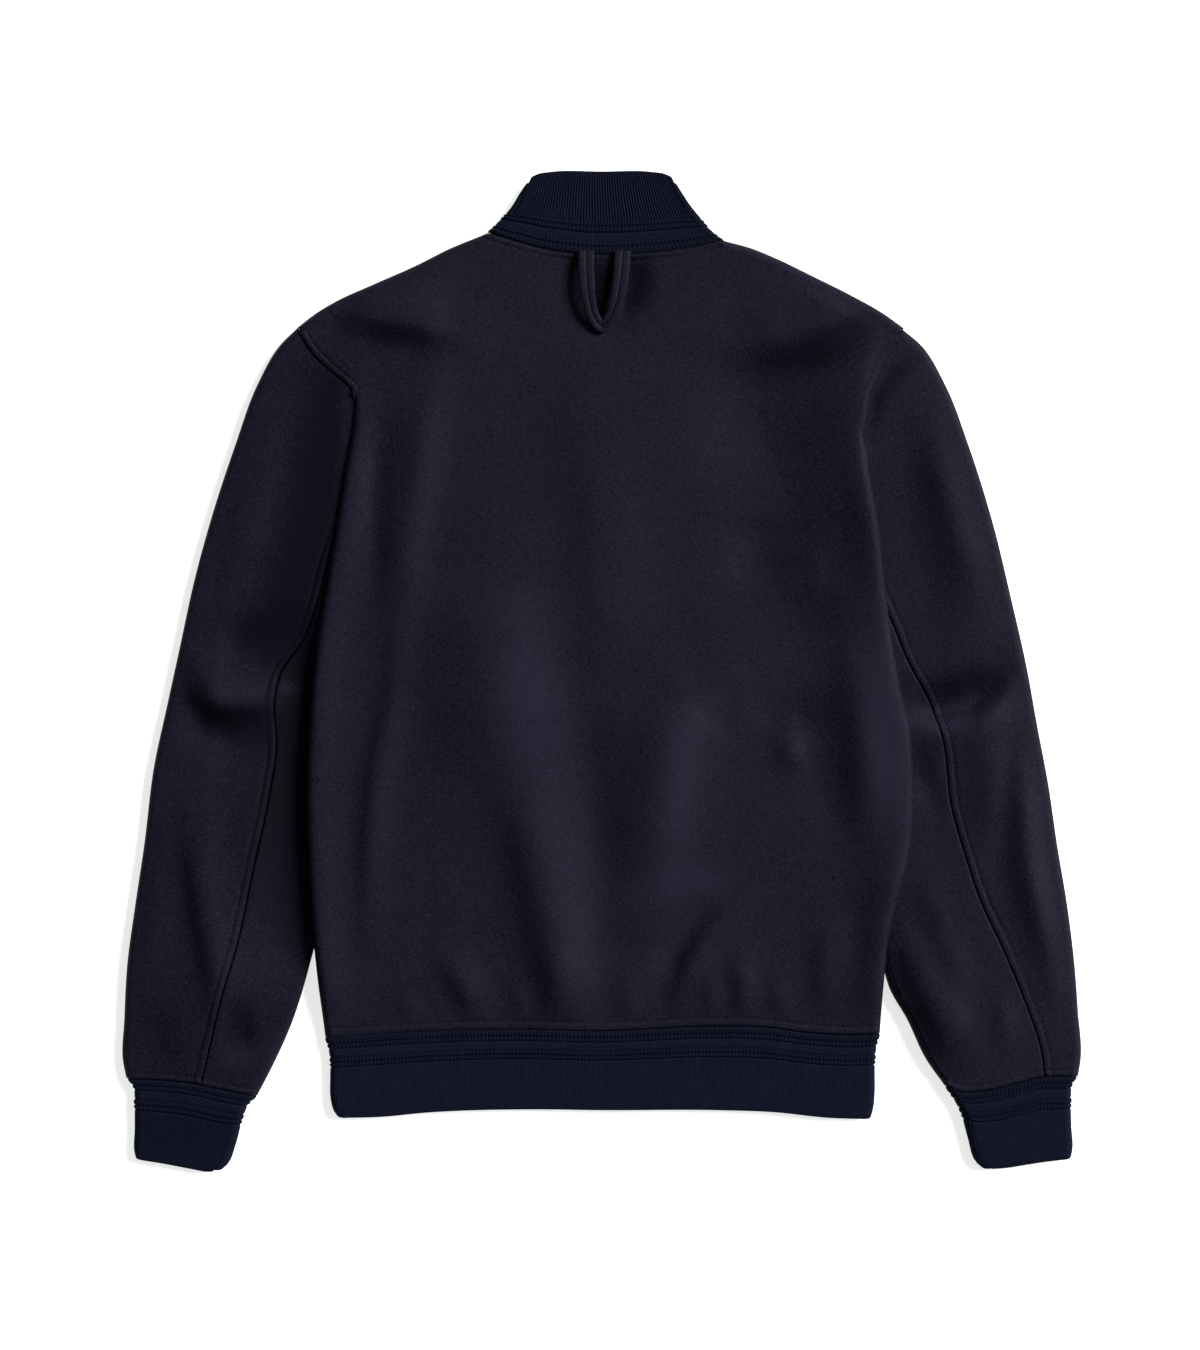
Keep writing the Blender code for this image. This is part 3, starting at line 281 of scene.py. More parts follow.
def at_shares(line, shares):
    """Points of a chain of chords at these shares of its length."""
    steps = np.linalg.norm(np.diff(line, axis=0), axis=1)
    run = np.concatenate([[0.0], np.cumsum(steps)])
    wanted = np.asarray(shares) * run[-1]
    return np.stack([np.interp(wanted, run, line[:, axis]) for axis in range(line.shape[1])], axis=1)


def part_of(line, start, end):
    """The stretch of a line from the place nearest to start to that nearest to end."""
    first = np.argmin(np.linalg.norm(line - start, axis=1))
    last = np.argmin(np.linalg.norm(line - end, axis=1))
    between = line[min(first, last) + 1 : max(first, last)]
    return np.vstack([[start], between if first <= last else between[::-1], [end]])


def cells(length, fine_start, fine_end):
    """Shares of a length at which its cells end, with fine ones beside the seams at its ends."""
    fine = np.arange(0.0, FINE_STRIP, FINE) / length
    low = FINE_STRIP / length if fine_start else 0.0
    high = 1.0 - (FINE_STRIP / length if fine_end else 0.0)
    middle = np.linspace(low, high, max(2, round((high - low) * length / CELL) + 1))
    start = fine if fine_start else []
    end = 1.0 - fine[::-1] if fine_end else []
    return np.concatenate([start, middle, end])


def unit(vectors):
    return vectors / np.linalg.norm(vectors, axis=-1, keepdims=True)


def patch(low, high, left, right, u, v):
    """Plan points between four edges: low and high run left to right, left and right low to high."""
    u, v = u[None, :, None], v[:, None, None]
    ruled = (1 - v) * low[None] + v * high[None] + (1 - u) * left[:, None] + u * right[:, None]
    at_low = (1 - u) * low[0] + u * low[-1]
    at_high = (1 - u) * high[0] + u * high[-1]
    return ruled - (1 - v) * at_low - v * at_high


def x_of(line, y):
    """x of a line that runs down the garment, at this y."""
    return np.interp(-np.asarray(y), -line[:, 1], line[:, 0])


def y_of(line, x):
    return np.interp(x, line[:, 0], line[:, 1])


HEM_LINE = dense(BACK_HEM)
NECK_LINE = dense(BACK_NECK)
for side in (LEFT, RIGHT):
    side["turn"] = side["fold"][0][1]  # where the armhole goes under the body's rolled side
    side["armpit"] = np.array(side["armhole"][-1], float)
    side["armhole_line"] = dense(side["armhole"])
    side["fold_line"] = dense(side["fold"])
    side["shoulder_line"] = dense(side["shoulder"])
    side["seen_armhole"] = part_of(side["armhole_line"], side["armhole_line"][0], side["fold_line"][0])
    side["cover"] = np.vstack([side["seen_armhole"], side["fold_line"][1:]])


def relief(table):
    """The height that these folds add, on a grid over the whole garment, softened so that no bend shows."""
    ticks = np.arange(-FOLD_REACH, FOLD_REACH, FOLD_STEP)
    y, x = np.meshgrid(ticks, ticks)
    total = np.zeros(x.shape)
    for points, low_width, high_width, height in table:
        points = np.array(points, float)
        steps = np.linalg.norm(np.diff(points, axis=0), axis=1)
        best, side_share, along = np.full(x.shape, 9e9), np.zeros(x.shape), np.zeros(x.shape)
        for start, end, step, before in zip(points, points[1:], steps, np.cumsum(steps) - steps):
            way = (end - start) / step
            ahead = np.clip((x - start[0]) * way[0] + (y - start[1]) * way[1], 0.0, step)
            away_x, away_y = x - start[0] - ahead * way[0], y - start[1] - ahead * way[1]
            away = np.hypot(away_x, away_y)
            nearer = away < best
            across = (way[0] * away_y - way[1] * away_x) / np.maximum(away, 1e-6)
            best = np.where(nearer, away, best)
            side_share = np.where(nearer, 0.5 + 0.5 * across, side_share)
            along = np.where(nearer, before + ahead, along)
        from_end = np.minimum(along, steps.sum() - along)
        ends = 0.3 + 0.7 * smooth(from_end, 0.0, 0.35 * steps.sum())
        total = total + height * ends * np.exp(-((best / mix(low_width, high_width, side_share)) ** 2))
    for _ in range(SOFTENINGS):
        total = (np.roll(total, 1, 0) + 2.0 * total + np.roll(total, -1, 0)) / 4.0
        total = (np.roll(total, 1, 1) + 2.0 * total + np.roll(total, -1, 1)) / 4.0
    return total


def at(grid, x, y):
    """The value of such a grid at these places."""
    across, down = (np.asarray(x) + FOLD_REACH) / FOLD_STEP, (np.asarray(y) + FOLD_REACH) / FOLD_STEP
    i, j = across.astype(int), down.astype(int)
    u, v = across - i, down - j
    return mix(mix(grid[i, j], grid[i + 1, j], u), mix(grid[i, j + 1], grid[i + 1, j + 1], u), v)


def away_from(line, x, y, reach):
    """Distance from a line in plan, right up to reach."""
    x, y = np.broadcast_arrays(np.asarray(x, float), np.asarray(y, float))
    found = np.full(x.shape, 9e9)
    low, high = line.min(axis=0) - reach, line.max(axis=0) + reach
    near = (x > low[0]) & (x < high[0]) & (y > low[1]) & (y < high[1])
    px, py = x[near], y[near]
    best = np.full(px.shape, 9e9)
    for start, end in zip(line, line[1:]):
        run = end - start
        from_start_x, from_start_y = px - start[0], py - start[1]
        along = np.clip((from_start_x * run[0] + from_start_y * run[1]) / max(run.dot(run), 1e-9), 0.0, 1.0)
        best = np.minimum(best, np.hypot(from_start_x - along * run[0], from_start_y - along * run[1]))
    found[near] = best
    return found


BODY_RELIEF, HEM_RELIEF, LOOP_RELIEF = relief(BODY_FOLDS), relief(HEM_PUCKERS), relief(LOOP_DENT)
# The painted light and shade on the same grid: shares of the cloth's shade, lighter or darker, rather than
# heights.
PAINTED_LIGHT_AND_SHADE = relief(PAINTED_LIGHTS_AND_SHADES)


def sewn(away, stitch):
    """Height beside a seam: a dip at it, a swollen strip, and a groove along its topstitching."""
    height = -SEAM_DEPTH * (1.0 - smooth(away, 0.0, SEAM_WIDTH))
    if stitch:
        height = height + PUFF * smooth(away, 0.5, 0.5 * stitch) * (1.0 - smooth(away, 0.6 * stitch, stitch))
        height = height - STITCH_DEPTH * np.exp(-(((away - stitch) / STITCH_WIDTH) ** 2))
    return height


def covers(side, y):
    """1 where the body lies on the sleeve, 0 below, where the sleeve has come out from under it."""
    return smooth(y, side["covered_to"] - 50.0, side["covered_to"] + 10.0)


def body_top(x, y):
    """Height of the back's outer face."""
    from_hem = y - y_of(HEM_LINE, x)
    near_hem = 1.0 - smooth(from_hem, 0.0, 45.0)
    near_neck = 1.0 - smooth(y_of(NECK_LINE, x) - y, 0.0, 30.0)
    near_shoulder = smooth(y, 235.0, 275.0)
    height, folded = BODY_HEIGHT, at(BODY_RELIEF, x, y) * (1.0 - near_hem) * (1.0 - near_neck)
    for side in (LEFT, RIGHT):
        inwards = (x_of(side["cover"], y) - x) * side["sign"]
        ridge = side["ridge"] * np.exp(-(((inwards - ROLL) / RIDGE_WIDTH) ** 2))
        height = height + ridge * smooth(side["turn"] - y, -10.0, 70.0)
        folded = folded * smooth(away_from(side["shoulder_line"], x, y, 40.0), 2.0, 18.0)
    height = mix(height, HEM_HEIGHT, near_hem)
    height = mix(height, SHOULDER_HEIGHT, np.maximum(near_neck, near_shoulder)) + folded
    height = height + at(HEM_RELIEF, x, y) * smooth(from_hem, 0.0, 12.0)
    height = height + at(LOOP_RELIEF, x, y) * smooth(y_of(NECK_LINE, x) - y, 0.0, 6.0)
    height = height + sewn(away_from(NECK_LINE, x, y, 20.0), NECK_STITCH)
    height = height + sewn(away_from(HEM_LINE, x, y, 20.0), HEM_STITCH)
    for side in (LEFT, RIGHT):
        armhole = sewn(away_from(side["seen_armhole"], x, y, 20.0), ARMHOLE_STITCH)
        height = height + armhole * side["armhole_relief"]
    return height


def neck_start(side):
    """The shoulder's end at the neck, and the way in along the neck seam from there."""
    neck = NECK_LINE if side["sign"] < 0 else NECK_LINE[::-1]
    return neck[0], unit(neck[1] - neck[0])


def eased(vectors, reach=7):
    """Unit vectors along an edge, averaged over this many rows each way, so that they turn gradually."""
    padded = np.pad(vectors, ((reach, reach), (0, 0)), "edge")
    whole = np.ones(2 * reach + 1)
    return unit(np.stack([np.convolve(padded[:, axis], whole, "valid") for axis in (0, 1)], axis=1))


def turned(vectors, first, last, rows=16):
    """The same, brought round to these two at the edge's ends."""
    from_start = smooth(np.arange(len(vectors)), 0, rows)[:, None]
    vectors = unit(mix(first, vectors, from_start))
    return unit(mix(last, vectors, from_start[::-1]))


def back_edge(side, fold_shares, armhole_shares, shoulder_shares):
    """The back's rolled edge from the hem to the neck, a point for each row of the panel, with the way in,
    the share of the roll, the length of the flap beyond it and the height of the panel's underside."""
    last_fold = len(fold_shares) - 1
    tip = last_fold + len(armhole_shares) - 1
    armhole = side["armhole_line"]
    line = np.vstack([
        at_shares(side["fold_line"][::-1], fold_shares),
        at_shares(side["seen_armhole"][::-1], armhole_shares)[1:],
        at_shares(dense(side["shoulder"]), shoulder_shares)[1:],
    ])
    along = unit(np.gradient(line, axis=0))
    inwards = np.stack([along[:, 1], -along[:, 0]], axis=1) * -side["sign"]
    inwards = turned(eased(inwards), np.array([-side["sign"], 0.0]), neck_start(side)[1])
    y = line[:, 1]
    wrapped = np.ones(len(line))  # none along the shoulder seam's lap, full down the side
    wrapped[:last_fold] = smooth(side["turn"] - y[:last_fold], 0.0, 26.0)
    wrapped[last_fold:tip] = 0.0
    flap = np.full(len(line), SHOULDER_FLAP)
    to_neck = np.linalg.norm(line - line[-1], axis=1)
    flap[tip:] = mix(NECK_FLAP, SHOULDER_FLAP, smooth(to_neck[tip:], 0.0, 60.0))
    armpit_x, armpit_y = side["armpit"]
    at_armpit = (x_of(side["fold_line"], armpit_y) - armpit_x) * side["sign"] - ROLL
    to_armhole = (line[:, 0] - x_of(armhole, y)) * side["sign"] - ROLL
    side_seam = np.where(y > armpit_y, to_armhole, mix(HEM_FLAP, at_armpit, smooth(y, FRONT_HEM, armpit_y)))
    flap[: last_fold + 1] = np.maximum(side_seam, 0.0)[: last_fold + 1]
    low = (side["tucked"] + SIDE_GAP) * covers(side, y) * smooth(side["turn"] - y, -1.0, 0.0)
    low[last_fold + 1 :] = 0.0
    return line, inwards, wrapped, flap, low


def roll_columns(side, edge):
    """The line where the panel starts to roll, and the columns from there out to its hidden edge."""
    line, inwards, wrapped, flap, low = edge
    inset = line + inwards * ROLL
    top = body_top(inset[:, 0], inset[:, 1])
    radius = (top - low) / 2.0
    columns = []
    flaps = 4
    steps = len(BACK_ROLL) + flaps
    for k in range(steps):
        if k < len(BACK_ROLL):
            out = np.full(len(line), ROLL * math.sin(BACK_ROLL[k]))
            drop = radius * (1.0 - math.cos(BACK_ROLL[k]))
        else:
            out = -flap * (k - len(BACK_ROLL) + 1) / flaps
            drop = 2.0 * radius
        straight = ROLL * (k + 1) / steps
        plan = inset - inwards * mix(straight, out, wrapped)[:, None]
        seam = body_top(plan[:, 0], plan[:, 1])
        columns.append(np.column_stack([plan, mix(seam, top - drop, wrapped)]))
    return inset, columns


def back_rows():
    """Shares of the fold, the visible armhole and the shoulder at which the panel's rows end."""
    fold = cells(length_of(LEFT["fold_line"]), True, False)
    armhole = cells(length_of(LEFT["seen_armhole"]), False, False)
    shoulder = cells(length_of(dense(LEFT["shoulder"])), False, True)
    return fold, armhole, shoulder


def back_panel():
    rows = back_rows()
    left_inset, left_roll = roll_columns(LEFT, back_edge(LEFT, *rows))
    right_inset, right_roll = roll_columns(RIGHT, back_edge(RIGHT, *rows))
    u = cells(right_inset[0, 0] - left_inset[0, 0], True, True)
    run = [rows[0] * FOLD_RUN, FOLD_RUN + rows[1][1:] * ARMHOLE_RUN]
    run.append(FOLD_RUN + ARMHOLE_RUN + rows[2][1:] * SHOULDER_RUN)
    v = np.concatenate(run) / run[-1][-1]
    low_x = mix(left_inset[0, 0], right_inset[0, 0], u)
    low = np.stack([low_x, y_of(HEM_LINE, low_x)], axis=1)
    high = at_shares(part_of(NECK_LINE, left_inset[-1], right_inset[-1]), u)
    plan = patch(low, high, left_inset, right_inset, u, v)
    middle = np.dstack([plan, body_top(plan[..., 0], plan[..., 1])])
    grid = np.concatenate([np.stack(left_roll[::-1], axis=1), middle, np.stack(right_roll, axis=1)], axis=1)
    grid[0, :, 1] -= GAP / 2
    grid[-1, :, 1] += GAP / 2
    return grid


class Shade:
    """A value or a colour in a material's nodes: sums and products on it add Math nodes."""

    def __init__(self, tree, socket=None):
        self.tree, self.socket = tree, socket

    def node(self, kind, settings, inputs, output=0):
        """A node of this kind, with its settings made first and then its sockets, by name or by place."""
        made = self.tree.nodes.new(f"ShaderNode{kind}")
        for setting, value in settings.items():
            setattr(made, setting, value)
        for name, value in inputs.items():
            if isinstance(value, Shade):
                self.tree.links.new(value.socket, made.inputs[name])
            else:
                made.inputs[name].default_value = value
        return Shade(self.tree, made.outputs[output])

    def maths(self, operation, other=0.0):
        return self.node("Math", {"operation": operation}, {0: self, 1: other})

    def __add__(self, other):
        return self.maths("ADD", other)

    def __sub__(self, other):
        return self.maths("SUBTRACT", other)

    def __rsub__(self, other):
        return self.node("Math", {"operation": "SUBTRACT"}, {0: other, 1: self})

    def __mul__(self, other):
        return self.maths("MULTIPLY", other)

    def __pow__(self, other):
        return self.maths("POWER", other)

    __radd__, __rmul__ = __add__, __mul__

    def between(self, low, high):
        """0 up to low, 1 from high, and a smooth step between."""
        settings = {"interpolation_type": "SMOOTHSTEP"}
        return self.node("MapRange", settings, {"Value": self, "From Min": low, "From Max": high})

    def tint(self, first, second):
        """The first colour where this is 0 and the second where it is 1."""
        return self.node("Mix", {"data_type": "RGBA"}, {0: self, 6: first, 7: second}, output=2)


def noise(nodes, place, scale, detail=2.0, roughness=0.5, distortion=0.0):
    sockets = {"Vector": place, "Scale": scale, "Detail": detail, "Roughness": roughness}
    return nodes.node("TexNoise", {}, {**sockets, "Distortion": distortion})


def finish(name, roughness):
    """A new material with its nodes, their shader and a starting point for shader sums."""
    made = bpy.data.materials.new(name)
    made.use_nodes = True
    shader = made.node_tree.nodes["Principled BSDF"]
    shader.inputs["Roughness"].default_value = roughness
    return made, shader, Shade(made.node_tree)


def melton_finish():
    """Dyed wool: fibres of two shades felted together and a bumped nap, with light and shade painted into its
    colour from the corners' attribute.
    """
    made, shader, nodes = finish("wool_melton", 0.6)
    place = nodes.node("TexCoord", {}, {}, "Object")
    fibre = noise(nodes, place, 700.0, 4.0, 0.7, 1.0)
    mottle = noise(nodes, place, 380.0, 2.0, 0.6)
    cloud = noise(nodes, place, 12.0, 2.0)
    painted_light_and_shade = nodes.node("Attribute", {"attribute_name": "nap_and_painted_shading"}, {}, "Fac")
    # The corners' attribute adds painted light and shade to the colour, and the dark end of the tint is low
    # enough for painted shadow.
    share = (fibre - 0.5) * 1.8 + (mottle - 0.5) * 0.5 + (cloud - 0.5) * 0.2 + 0.5 + painted_light_and_shade
    colour = share.between(0.0, 1.0).tint((0.0020, 0.0018, 0.0052, 1.0), (0.0134, 0.0125, 0.0248, 1.0))
    made.node_tree.links.new(colour.socket, shader.inputs["Base Color"])
    nap_and_painted_shading = noise(nodes, place, 1000.0, 3.0, 0.6, 0.8) * 0.7 + noise(nodes, place, 330.0, 2.0) * 0.5
    bump = nodes.node("Bump", {}, {"Strength": 0.5, "Distance": 0.0006, "Height": nap_and_painted_shading}, "Normal")
    made.node_tree.links.new(bump.socket, shader.inputs["Normal"])
    shader.inputs["Specular IOR Level"].default_value = 0.05
    return made


def link(name, shape, material):
    """An object of the jacket, from a bmesh in metres."""
    mesh = bpy.data.meshes.new(name)
    shape.to_mesh(mesh)
    shape.free()
    mesh.materials.append(material)
    mesh.shade_smooth()
    mesh.set_sharp_from_angle(angle=math.radians(60))
    made = bpy.data.objects.new(name, mesh)
    scene.collection.objects.link(made)
    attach(made, "root")
    return made


def moved(points):
    """Points of the drawing in the part's own frame, in metres."""
    return (points - np.array([*CENTRE, 0.0])) * MM


def grid_of(points, run=None):
    """A flat grid of cells, with its corners moved to these points. run gives each its place along and down
    the knit in millimetres, which becomes the UV map."""
    rows, columns = points.shape[0] - 1, points.shape[1] - 1
    shape = bmesh.new()
    bmesh.ops.create_grid(shape, x_segments=columns, y_segments=rows, size=0.5)
    placed = moved(points)
    if run is not None:
        uv = shape.loops.layers.uv.new("knit")
        for face in shape.faces:
            for loop in face.loops:
                x, y, _ = loop.vert.co
                loop[uv].uv = run[round((y + 0.5) * rows), round((x + 0.5) * columns)] * MM
    for corner in shape.verts:
        corner.co = placed[round((corner.co.y + 0.5) * rows), round((corner.co.x + 0.5) * columns)]
    return shape


def paint_light_and_shade(made, share=1.0):
    """Gives a piece's corners painted light and shade, or this share of it: a value that makes its colour
    lighter where light falls and darker in shade.
    """
    corners = np.empty(3 * len(made.data.vertices), np.float32)
    made.data.vertices.foreach_get("co", corners)
    shade = share * at(PAINTED_LIGHT_AND_SHADE, corners[0::3] / MM + CENTRE[0], corners[1::3] / MM + CENTRE[1])
    attribute = made.data.attributes.new("nap_and_painted_shading", "FLOAT", "POINT")
    attribute.data.foreach_set("value", shade.astype(np.float32))


def cloth(name, points, outside_down=False):
    """A panel of the melton: its outer face goes through the points, and its wall is built inwards."""
    shape = grid_of(points)
    if outside_down:
        bmesh.ops.reverse_faces(shape, faces=shape.faces)
    made = link(name, shape, MELTON)
    # Light and shade painted into the panel's colour.
    paint_light_and_shade(made)
    wall = made.modifiers.new("wall", "SOLIDIFY")
    wall.thickness, wall.offset = CLOTH * MM, -1.0
    wall.use_even_offset = False
    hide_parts(name.removeprefix("melton_"))
    return made


MELTON = melton_finish()
back_points = back_panel()
back = cloth("melton_back", back_points)

# The fronts: two panels of the melton under the back, the left one over the right by a placket. The
# photograph doesn't show them, so they are plain, and flat where they rest on the table.
FRONT_OVERLAP, PLACKET_LIFT = 15.0, 1.2
NECK_BOTTOM = 253.4
NECK_CURVE = [(66, 38), (36, 12), (8, 0), (0.6, 0)]
ARMHOLE_GAP = 3.0
FRONT_CELLS = 44  # across a front
FRONT_SIDE_ROWS, FRONT_ARMHOLE_ROWS = 90, 45
LEFT["sleeve_inner"] = [
    (-154, 50.6), (-162, 16), (-177, -37.5), (-194.8, -99.3), (-209.5, -168.9), (-224.9, -224.6),
    (-229.6, -242.3), (-239.6, -273.3), (-253.5, -304.2), (-265.9, -328.1),
]
RIGHT["sleeve_inner"] = [
    (172, 49.9), (178.5, 12), (189, -37.5), (201, -99.3), (212.6, -168.9), (217.2, -223), (223, -244.7),
    (236.5, -268.6), (251.2, -299.5), (265.9, -320.4),
]


def even(line, cell_count):
    return at_shares(line, np.linspace(0.0, 1.0, cell_count + 1))


def front_under(side, x, y):
    """Height of a front's outer face: flat on the table, over the tucked sleeve, and at the placket."""
    inwards = (x_of(side["inner_line"], y) - x) * side["sign"]
    below_armpit = 1.0 - smooth(y - side["armpit"][1], 2.0, 24.0)
    raised = (side["tucked"] + SIDE_GAP) * covers(side, y) * below_armpit * (1.0 - smooth(inwards, 3.0, 19.0))
    across = x * side["sign"]
    if side["sign"] < 0:
        placket = PLACKET_LIFT * (1.0 - smooth(across, 18.0, 34.0))
    else:
        placket = (PLACKET_LIFT + CLOTH + GAP) * (1.0 - smooth(across, 30.0, 55.0))
    return np.maximum(raised, placket)


def neckline(side, cell_count):
    """The front's neck seam in plan, from its corner at the shoulder to the centre line."""
    start, way = neck_start(side)
    corner = start + way * (ROLL + NECK_FLAP + SIDE_GAP)
    curve = [(side["sign"] * x, NECK_BOTTOM + y) for x, y in NECK_CURVE]
    return even(dense([corner, *curve]), cell_count)


def front_panel(side):
    fold, armhole, shoulder = back_rows()
    line, inwards, _, flap, _ = back_edge(side, fold, armhole, shoulder)
    ends = line + inwards * (ROLL + flap + SIDE_GAP)[:, None]
    last_fold, tip = len(fold) - 1, len(fold) + len(armhole) - 2
    neck = neckline(side, 30)
    shoulder_end = ends[tip:]
    shoulder_end[-1] = neck[0]
    armpit = side["armpit"] - np.array([side["sign"] * ARMHOLE_GAP, 0.0])
    below = line[: last_fold + 1, 1] < armpit[1] - 12.0
    side_seam = np.vstack([ends[: last_fold + 1][below], [armpit]])
    side_seam[0, 1] = side["fold"][-1][1]
    hidden = part_of(side["armhole_line"], side["armpit"], shoulder_end[0] - np.array([0.0, 6.0]))
    way = unit(np.gradient(hidden, axis=0))
    hidden = hidden - np.stack([way[:, 1], -way[:, 0]], axis=1) * GAP * side["sign"]
    hidden[0], hidden[-1] = armpit, shoulder_end[0]
    outer = np.vstack([even(side_seam, FRONT_SIDE_ROWS), even(hidden, FRONT_ARMHOLE_ROWS)[1:]])
    past_centre = -side["sign"] * FRONT_OVERLAP
    centre_rows = len(outer) - len(neck)
    centre = np.linspace((past_centre, FRONT_HEM), (past_centre, NECK_BOTTOM), centre_rows)
    across = np.linspace(0, 1, FRONT_CELLS + 1)
    plan = mix(outer[:, None], np.vstack([centre, neck[::-1]])[:, None], across[None, :, None])
    out = -side["sign"] * plan[..., 0]
    limit = np.interp(out, -side["sign"] * shoulder_end[:, 0], shoulder_end[:, 1])
    rows_down = np.minimum(np.arange(len(plan))[::-1], 6)[:, None]
    plan[..., 1] = np.minimum(plan[..., 1], limit - 0.7 * rows_down)
    plan[-1] = at_shares(shoulder_end, across)
    grid = np.dstack([plan, front_under(side, plan[..., 0], plan[..., 1])])
    grid[0, :, 1] += GAP
    return grid


for side, label in ((LEFT, "left"), (RIGHT, "right")):
    side["inner_line"] = dense(side["sleeve_inner"])
    points = front_panel(side)
    if side["sign"] > 0:
        points = points[:, ::-1]
    front = cloth(f"melton_front_{label}", points, outside_down=True)

# The sleeves: two pieces of the melton each, joined by a seam down the back of the arm, which is topstitched
# on its outer side. Each is sewn into the armhole, and its inner edge is tucked under the body.
SLEEVE_EDGE, SLEEVE_CROWN = 12.0, 17.0  # heights of its folds and of its middle
TRIM_HEIGHT, FREE_HEIGHT = 12.0, 11.0  # of a knit band at its seam and at its free edge
SEAM_LAP = 4.0  # how far the sleeve's head reaches in at the armhole
SLEEVE_GAP = 0.5
LOWER_POINTS = 12  # across half of the lower side
LAP_START, LAP_STEPS = 6.0, (5.0, 10.0)  # before the seam on the lower side, and from there over it
SLEEVE_STITCH, CUFF_STITCH = 6.0, 5.0
SLEEVE_ROLL = np.radians(np.linspace(15.0, 165.0, 11))
ACROSS = 480  # places at which each row of a sleeve is known
LEFT.update({
    # (distance from the body, share of the full height), above the elbow and below it
    "upper_rise": [(-7, 0), (-5.5, 0.5), (-4, 0.6), (-2, 0.6), (12, 0.6), (40, 0.76), (75, 1)],
    "lower_rise": [(0, 0), (12, 0.05), (24, 0.2), (48, 0.68), (76, 1)],
    "seam_height": 12.2,
    "sleeve_outer": [
        (-235, 265.5), (-248.1, 252.4), (-265.9, 221.5), (-282.9, 175.1), (-300.7, 121), (-315.4, 66.9),
        (-325.4, 20.5), (-335.5, -25.9), (-345.5, -72.3), (-353.3, -134.1), (-360.2, -180.5),
        (-366.4, -226.9), (-368.7, -269.4), (-369.9, -300.3), (-367.2, -314.2),
    ],
    "cuff_seam": [(-367.2, -314.2), (-316.2, -318.1), (-290.6, -323.5), (-265.9, -328.1)],
    "back_seam": [
        (-177, 171.2), (-192.5, 132.6), (-209.5, 90.8), (-218.8, 55.3), (-230.4, 24.3), (-248.1, -1.9),
        (-252.8, -27.4), (-251.2, -56.8), (-255.9, -92.4), (-269, -155), (-280.6, -210.6), (-293, -253.9),
        (-308.4, -315.8),
    ],
})
RIGHT_RISE = [(-7, 0), (-5.5, 0.7), (-4, 0.8), (-2, 0.8), (6, 0.8), (30, 0.82), (56, 1)]
RIGHT.update({
    "upper_rise": RIGHT_RISE,
    "lower_rise": RIGHT_RISE,
    "seam_height": 13.4,
    "sleeve_outer": [
        (233.4, 264.5), (247.6, 252.4), (266.4, 221.5), (284.3, 175.1), (303.6, 113.2), (317.6, 55.3),
        (329, 5), (337.4, -41.4), (346.1, -87.7), (352.9, -134.1), (360.6, -180.5), (366.3, -226.9),
        (368.9, -261.7), (371.1, -300.3), (369.1, -312.7),
    ],
    "cuff_seam": [
        (369.1, -312.7), (338.6, -313.5), (317.7, -318.9), (296.8, -323.5), (276, -324.3), (265.9, -320.4),
    ],
    "back_seam": [
        (193, 150), (206, 90), (214.5, 60), (224.5, 37), (236, 8.9), (255.9, -29), (262.8, -51.4),
        (270.6, -107.1), (279.8, -139.5), (292.2, -176.6), (309.2, -213), (327, -255.5), (340.1, -294.9),
        (342.4, -313.5),
    ],
})
SLEEVE_FOLDS = [  # as BODY_FOLDS
    ([(-322, 0), (-308, -20), (-290, -26), (-262, -25), (-236, -28)], 7, 18, 7.0),
    ([(-318, -20), (-303, -42), (-285, -46), (-262, -44), (-238, -50)], 22, 7, -4.5),
    ([(-300, 14), (-275, 18), (-245, 10)], 16, 26, -2.6),
    ([(-318, -110), (-309, -180), (-299, -235), (-292, -290)], 8, 20, 4.0),
    ([(-346, -90), (-352, -180), (-354, -250)], 10, 14, 1.8),
    ([(-300, -283), (-282, -287), (-262, -285)], 11, 22, -3.6),
    ([(-262, 200), (-274, 120), (-284, 60)], 20, 24, 2.6),
    ([(258, 195), (268, 140), (282, 92), (296, 50)], 16, 24, 3.0),
    ([(240, 247), (228, 234), (212, 216), (207, 190)], 7, 7, -2.6),
    ([(236, -28), (262, -31), (285, -27), (300, -16), (316, -4)], 6, 22, -9.0),
    ([(236, -46), (262, -50), (285, -46), (303, -32), (318, -18)], 14, 6, 4.4),
    ([(303, -45), (302, -90), (298, -130)], 15, 10, 2.8),
    ([(332, -45), (330, -100), (331, -150), (339, -190), (352, -245)], 16, 14, 5.0),
    ([(232, -200), (254, -250), (280, -298)], 13, 18, 5.0),
    ([(246, -150), (262, -200), (280, -250)], 10, 12, 2.8),
    ([(308, -255), (315, -300)], 8, 9, 2.6),
    ([(246, -70), (258, -110)], 9, 9, -2.6),
]
SLEEVE_RELIEF = relief(SLEEVE_FOLDS)


